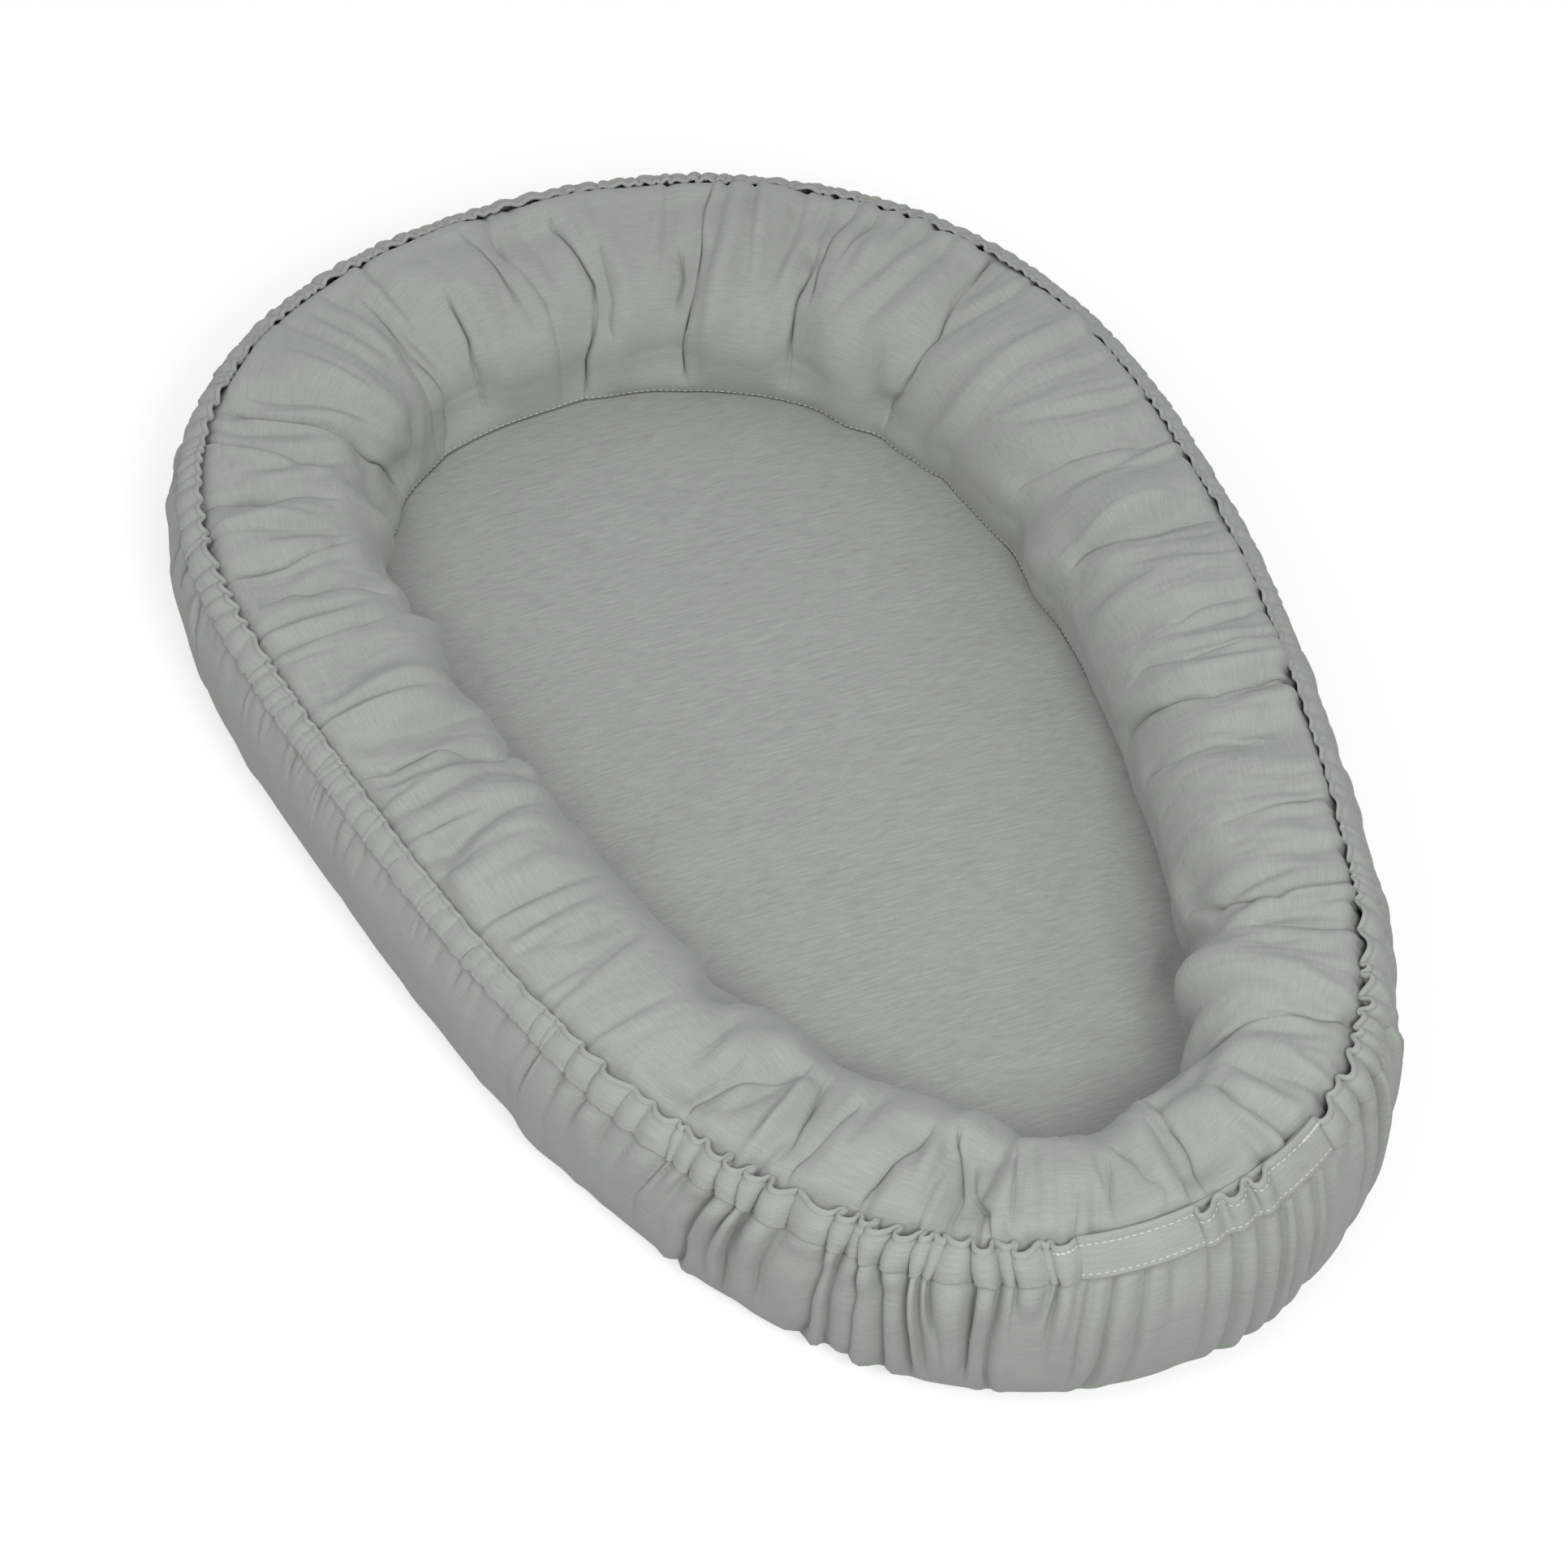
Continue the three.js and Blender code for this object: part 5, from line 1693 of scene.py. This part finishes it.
placket_back = placket_middle - placket_normals * half
placket = grid_piece("closing_placket_cloth", np.concatenate([placket_face, placket_back[:, ::-1]], 1),
                     cover_cloth, wrap_columns=False)
stands_for(placket, "closing_placket")
placket_length = float(path_lengths(placket_middle[:, PLACKET_MEASURED_ROW])[-1])
print("placket:", len(placket.data.polygons), "faces, cloth length, mm:", round(placket_length / MM))

# %% [markdown]
# ## Stitches
#
# One stitch is a short piece of thread whose ends dive into the cloth. It is modelled once from a
# small sphere: stretched along the row, flattened, and its two ends pulled down. A row is many
# copies of it along a line of the finished cloth, turned to follow that line.

# %% One stitch
STITCH_FLATNESS = 0.75
# Points past this place, in lengths of a stitch, dive by this many of its thicknesses.
ENDS_PAST, ENDS_DIVE = 0.45, 0.5


def one_stitch():
    """Points and faces of a stitch one long and one thick, lying along X."""
    bpy.ops.object.select_all(action="DESELECT")
    bpy.ops.mesh.primitive_uv_sphere_add(segments=6, ring_count=5, radius=0.5, location=(0, 0, 0))
    stitch = bpy.context.object
    bpy.ops.object.mode_set(mode="EDIT")
    bpy.ops.mesh.select_all(action="SELECT")
    bpy.ops.transform.rotate(value=math.pi / 2, orient_axis="Y", center_override=(0, 0, 0))
    bpy.ops.transform.resize(value=(1, 1, STITCH_FLATNESS), center_override=(0, 0, 0))
    bpy.ops.mesh.select_all(action="DESELECT")
    bpy.ops.object.mode_set(mode="OBJECT")
    for vertex in stitch.data.vertices:
        vertex.select = abs(vertex.co.x) > ENDS_PAST
    bpy.ops.object.mode_set(mode="EDIT")
    bpy.ops.transform.translate(value=(0, 0, -ENDS_DIVE))
    bpy.ops.object.mode_set(mode="OBJECT")
    points = np.array([v.co for v in stitch.data.vertices])
    faces = [tuple(p.vertices) for p in stitch.data.polygons]
    bpy.data.objects.remove(stitch)
    return points, faces


STITCH_POINTS, STITCH_FACES = one_stitch()
print("a stitch has", len(STITCH_POINTS), "points and", len(STITCH_FACES), "faces")


# %% Rows of stitches
STITCH_LIFT = 0.2


def stitch_row(name, line, outward, material, node, length=2.3 * MM, gap=1.0 * MM, thick=0.62 * MM):
    """Stitches along a line of points, on the side that outward points to."""
    path = path_lengths(line)
    count = int(path[-1] / (length + gap))
    middles = (np.arange(count) + 0.5) * path[-1] / count

    def at(distance, values):
        return np.stack([np.interp(distance, path, values[:, k]) for k in range(3)], -1)
    along = unit(at(middles + length / 2, line) - at(middles - length / 2, line))
    up = at(middles, outward)
    up = unit(up - along * (up * along).sum(-1, keepdims=True))
    points = (at(middles, line) + up * thick * STITCH_LIFT)[:, None]
    for way, sizes in zip((along, np.cross(up, along), up), (STITCH_POINTS * [length, thick, thick]).T):
        points = points + way[:, None] * sizes[None, :, None]
    faces = [tuple(v + k * len(STITCH_POINTS) for v in face) for k in range(count) for face in STITCH_FACES]
    stands_for(new_piece(name, points.reshape(-1, 3), faces, material), node)
    print(name, "has", count, "stitches")


row_of = {share: k for k, (share, _) in enumerate(CASING_PROFILE)}
for name, share, node in (("hem_upper_stitches", UPPER_ROW_SHARE, "hem_upper_stitch"),
                          ("hem_lower_stitches", LOWER_ROW_SHARE, "hem_lower_stitch")):
    row = row_of[share]
    stitch_row(name, closed_line(casing_face[:, row]), closed_line(casing_normals[:, row]),
               cover_thread, node, thick=0.5 * MM)

for name, row, node in (("placket_upper_stitches", PLACKET_UPPER_ROW, "placket_upper_stitch"),
                        ("placket_lower_stitches", PLACKET_LOWER_ROW, "placket_lower_stitch")):
    stitch_row(name, placket_face[:, row], placket_normals[:, row], pale_thread, node,
               length=2.6 * MM, gap=1.1 * MM)

SEAM_ROW = 1
stitch_row("mattress_seam_stitches", closed_line(cover_face[:, SEAM_ROW]),
           closed_line(grid_normals(cover_face)[:, SEAM_ROW]), pale_thread,
           "mattress_seam_stitch", length=2.2 * MM, gap=1.5 * MM)

# %% [markdown]
# ## Tacks
#
# Both ends of the placket are sewn over several times. Such a tack is a close bundle of stitches
# beside each other: one lies on the gathered hem where the strip starts, and one on the free tab.

# %% Tacks at both ends of the placket
TACK_ROWS = 3
TACK_STEP = 0.55 * MM
# Columns of the placket that the tack of its free end covers.
TACK_COLUMNS = 8


def tack(name, line, outward, beside, node):
    """Rows of stitches side by side, there and back over the same short line."""
    across = unit(beside)
    lines = [line + across * TACK_STEP * (k - (TACK_ROWS - 1) / 2) for k in range(TACK_ROWS)]
    there_and_back = [part if k % 2 == 0 else part[::-1] for k, part in enumerate(lines)]
    stitch_row(name, np.concatenate(there_and_back), np.concatenate([outward] * TACK_ROWS), pale_thread,
               node, length=2.4 * MM, gap=0.2 * MM, thick=0.7 * MM)


end_face, end_normals = placket_face[:TACK_COLUMNS], placket_normals[:TACK_COLUMNS]
tack("placket_tack_free_end", end_face[:, PLACKET_UPPER_ROW], end_normals[:, PLACKET_UPPER_ROW],
     end_face[:, PLACKET_UPPER_ROW + 1] - end_face[:, PLACKET_UPPER_ROW], "placket_tack_end")

upper = row_of[UPPER_ROW_SHARE]
start_face, start_normals = casing_face[:COLUMNS_PER_GATHER], casing_normals[:COLUMNS_PER_GATHER]
tack("placket_tack_at_start", start_face[:, upper], start_normals[:, upper],
     start_face[:, upper] - start_face[:, upper - 1], "placket_tack_start")

# %% [markdown]
# ## The base
#
# The bottom of the cover is one flat panel on the floor. An overlocked seam joins the skirt to it:
# a thin bead of thread with a slanted rib for each stitch. Both are hardly seen here, but they show
# when the lounger is picked up and turned over.

# %% Base panel and its overlocked seam
BASE_CLOTH = 1.4 * MM
BASE_COLUMNS = 480
base_angles = np.arange(BASE_COLUMNS) * 360 / BASE_COLUMNS
foot = ring_point(base_angles, SKIRT_LOWER, SKIRT_OUT)
base_shares = np.array([0.25, 0.5, 0.75, 0.93, 0.985, 1.0])


base_plan = RING_CENTRE + (foot[:, None, :2] - RING_CENTRE) * base_shares[None, :, None]
base_panel = pillow("base_panel_cloth", np.concatenate(
    [at_height(base_plan, BASE_CLOTH), at_height(base_plan[:, ::-1], 0)], 1), mattress_cloth)

BEAD_COLUMNS = 1800
BEAD_SIDES = 10
BEAD_STITCHES = 600
BEAD_HALF_WIDTH, BEAD_INSET = 1.5 * MM, 1.2 * MM
RIB_HEIGHT = 0.12
bead_angles = np.arange(BEAD_COLUMNS) * 360 / BEAD_COLUMNS
bead_foot = ring_point(bead_angles, SKIRT_LOWER, SKIRT_OUT)
bead_low, bead_high = BASE_CLOTH + CLEARANCE, bead_foot[:, 2] - CLEARANCE
around = np.arange(BEAD_SIDES) * 2 * math.pi / BEAD_SIDES
rib = 1 + RIB_HEIGHT * np.sin(np.radians(bead_angles * BEAD_STITCHES)[:, None] + around[None, :])
out = outward_of(middle_line, bead_angles)
wide = BEAD_HALF_WIDTH * rib * np.cos(around)[None, :] - BEAD_INSET
tall = ((bead_high - bead_low) / 2)[:, None] * np.clip(rib, 0, 1) * np.sin(around)[None, :]
bead = np.concatenate([bead_foot[:, None, :2] + out[:, None] * wide[..., None],
                       ((bead_low + bead_high)[:, None] / 2 + tall)[..., None]], -1)
base_seam = grid_piece("base_seam_overlock", bead, cover_thread)
stands_for(base_panel, "base_panel")
stands_for(base_seam, "base_seam")
print("base made")

# %% [markdown]
# ## The skirt's foot
#
# Its length comes from the finished cloth itself: the length of the skirt's foot round the ring.


foot_length = float(path_lengths(closed_line(foot))[-1])
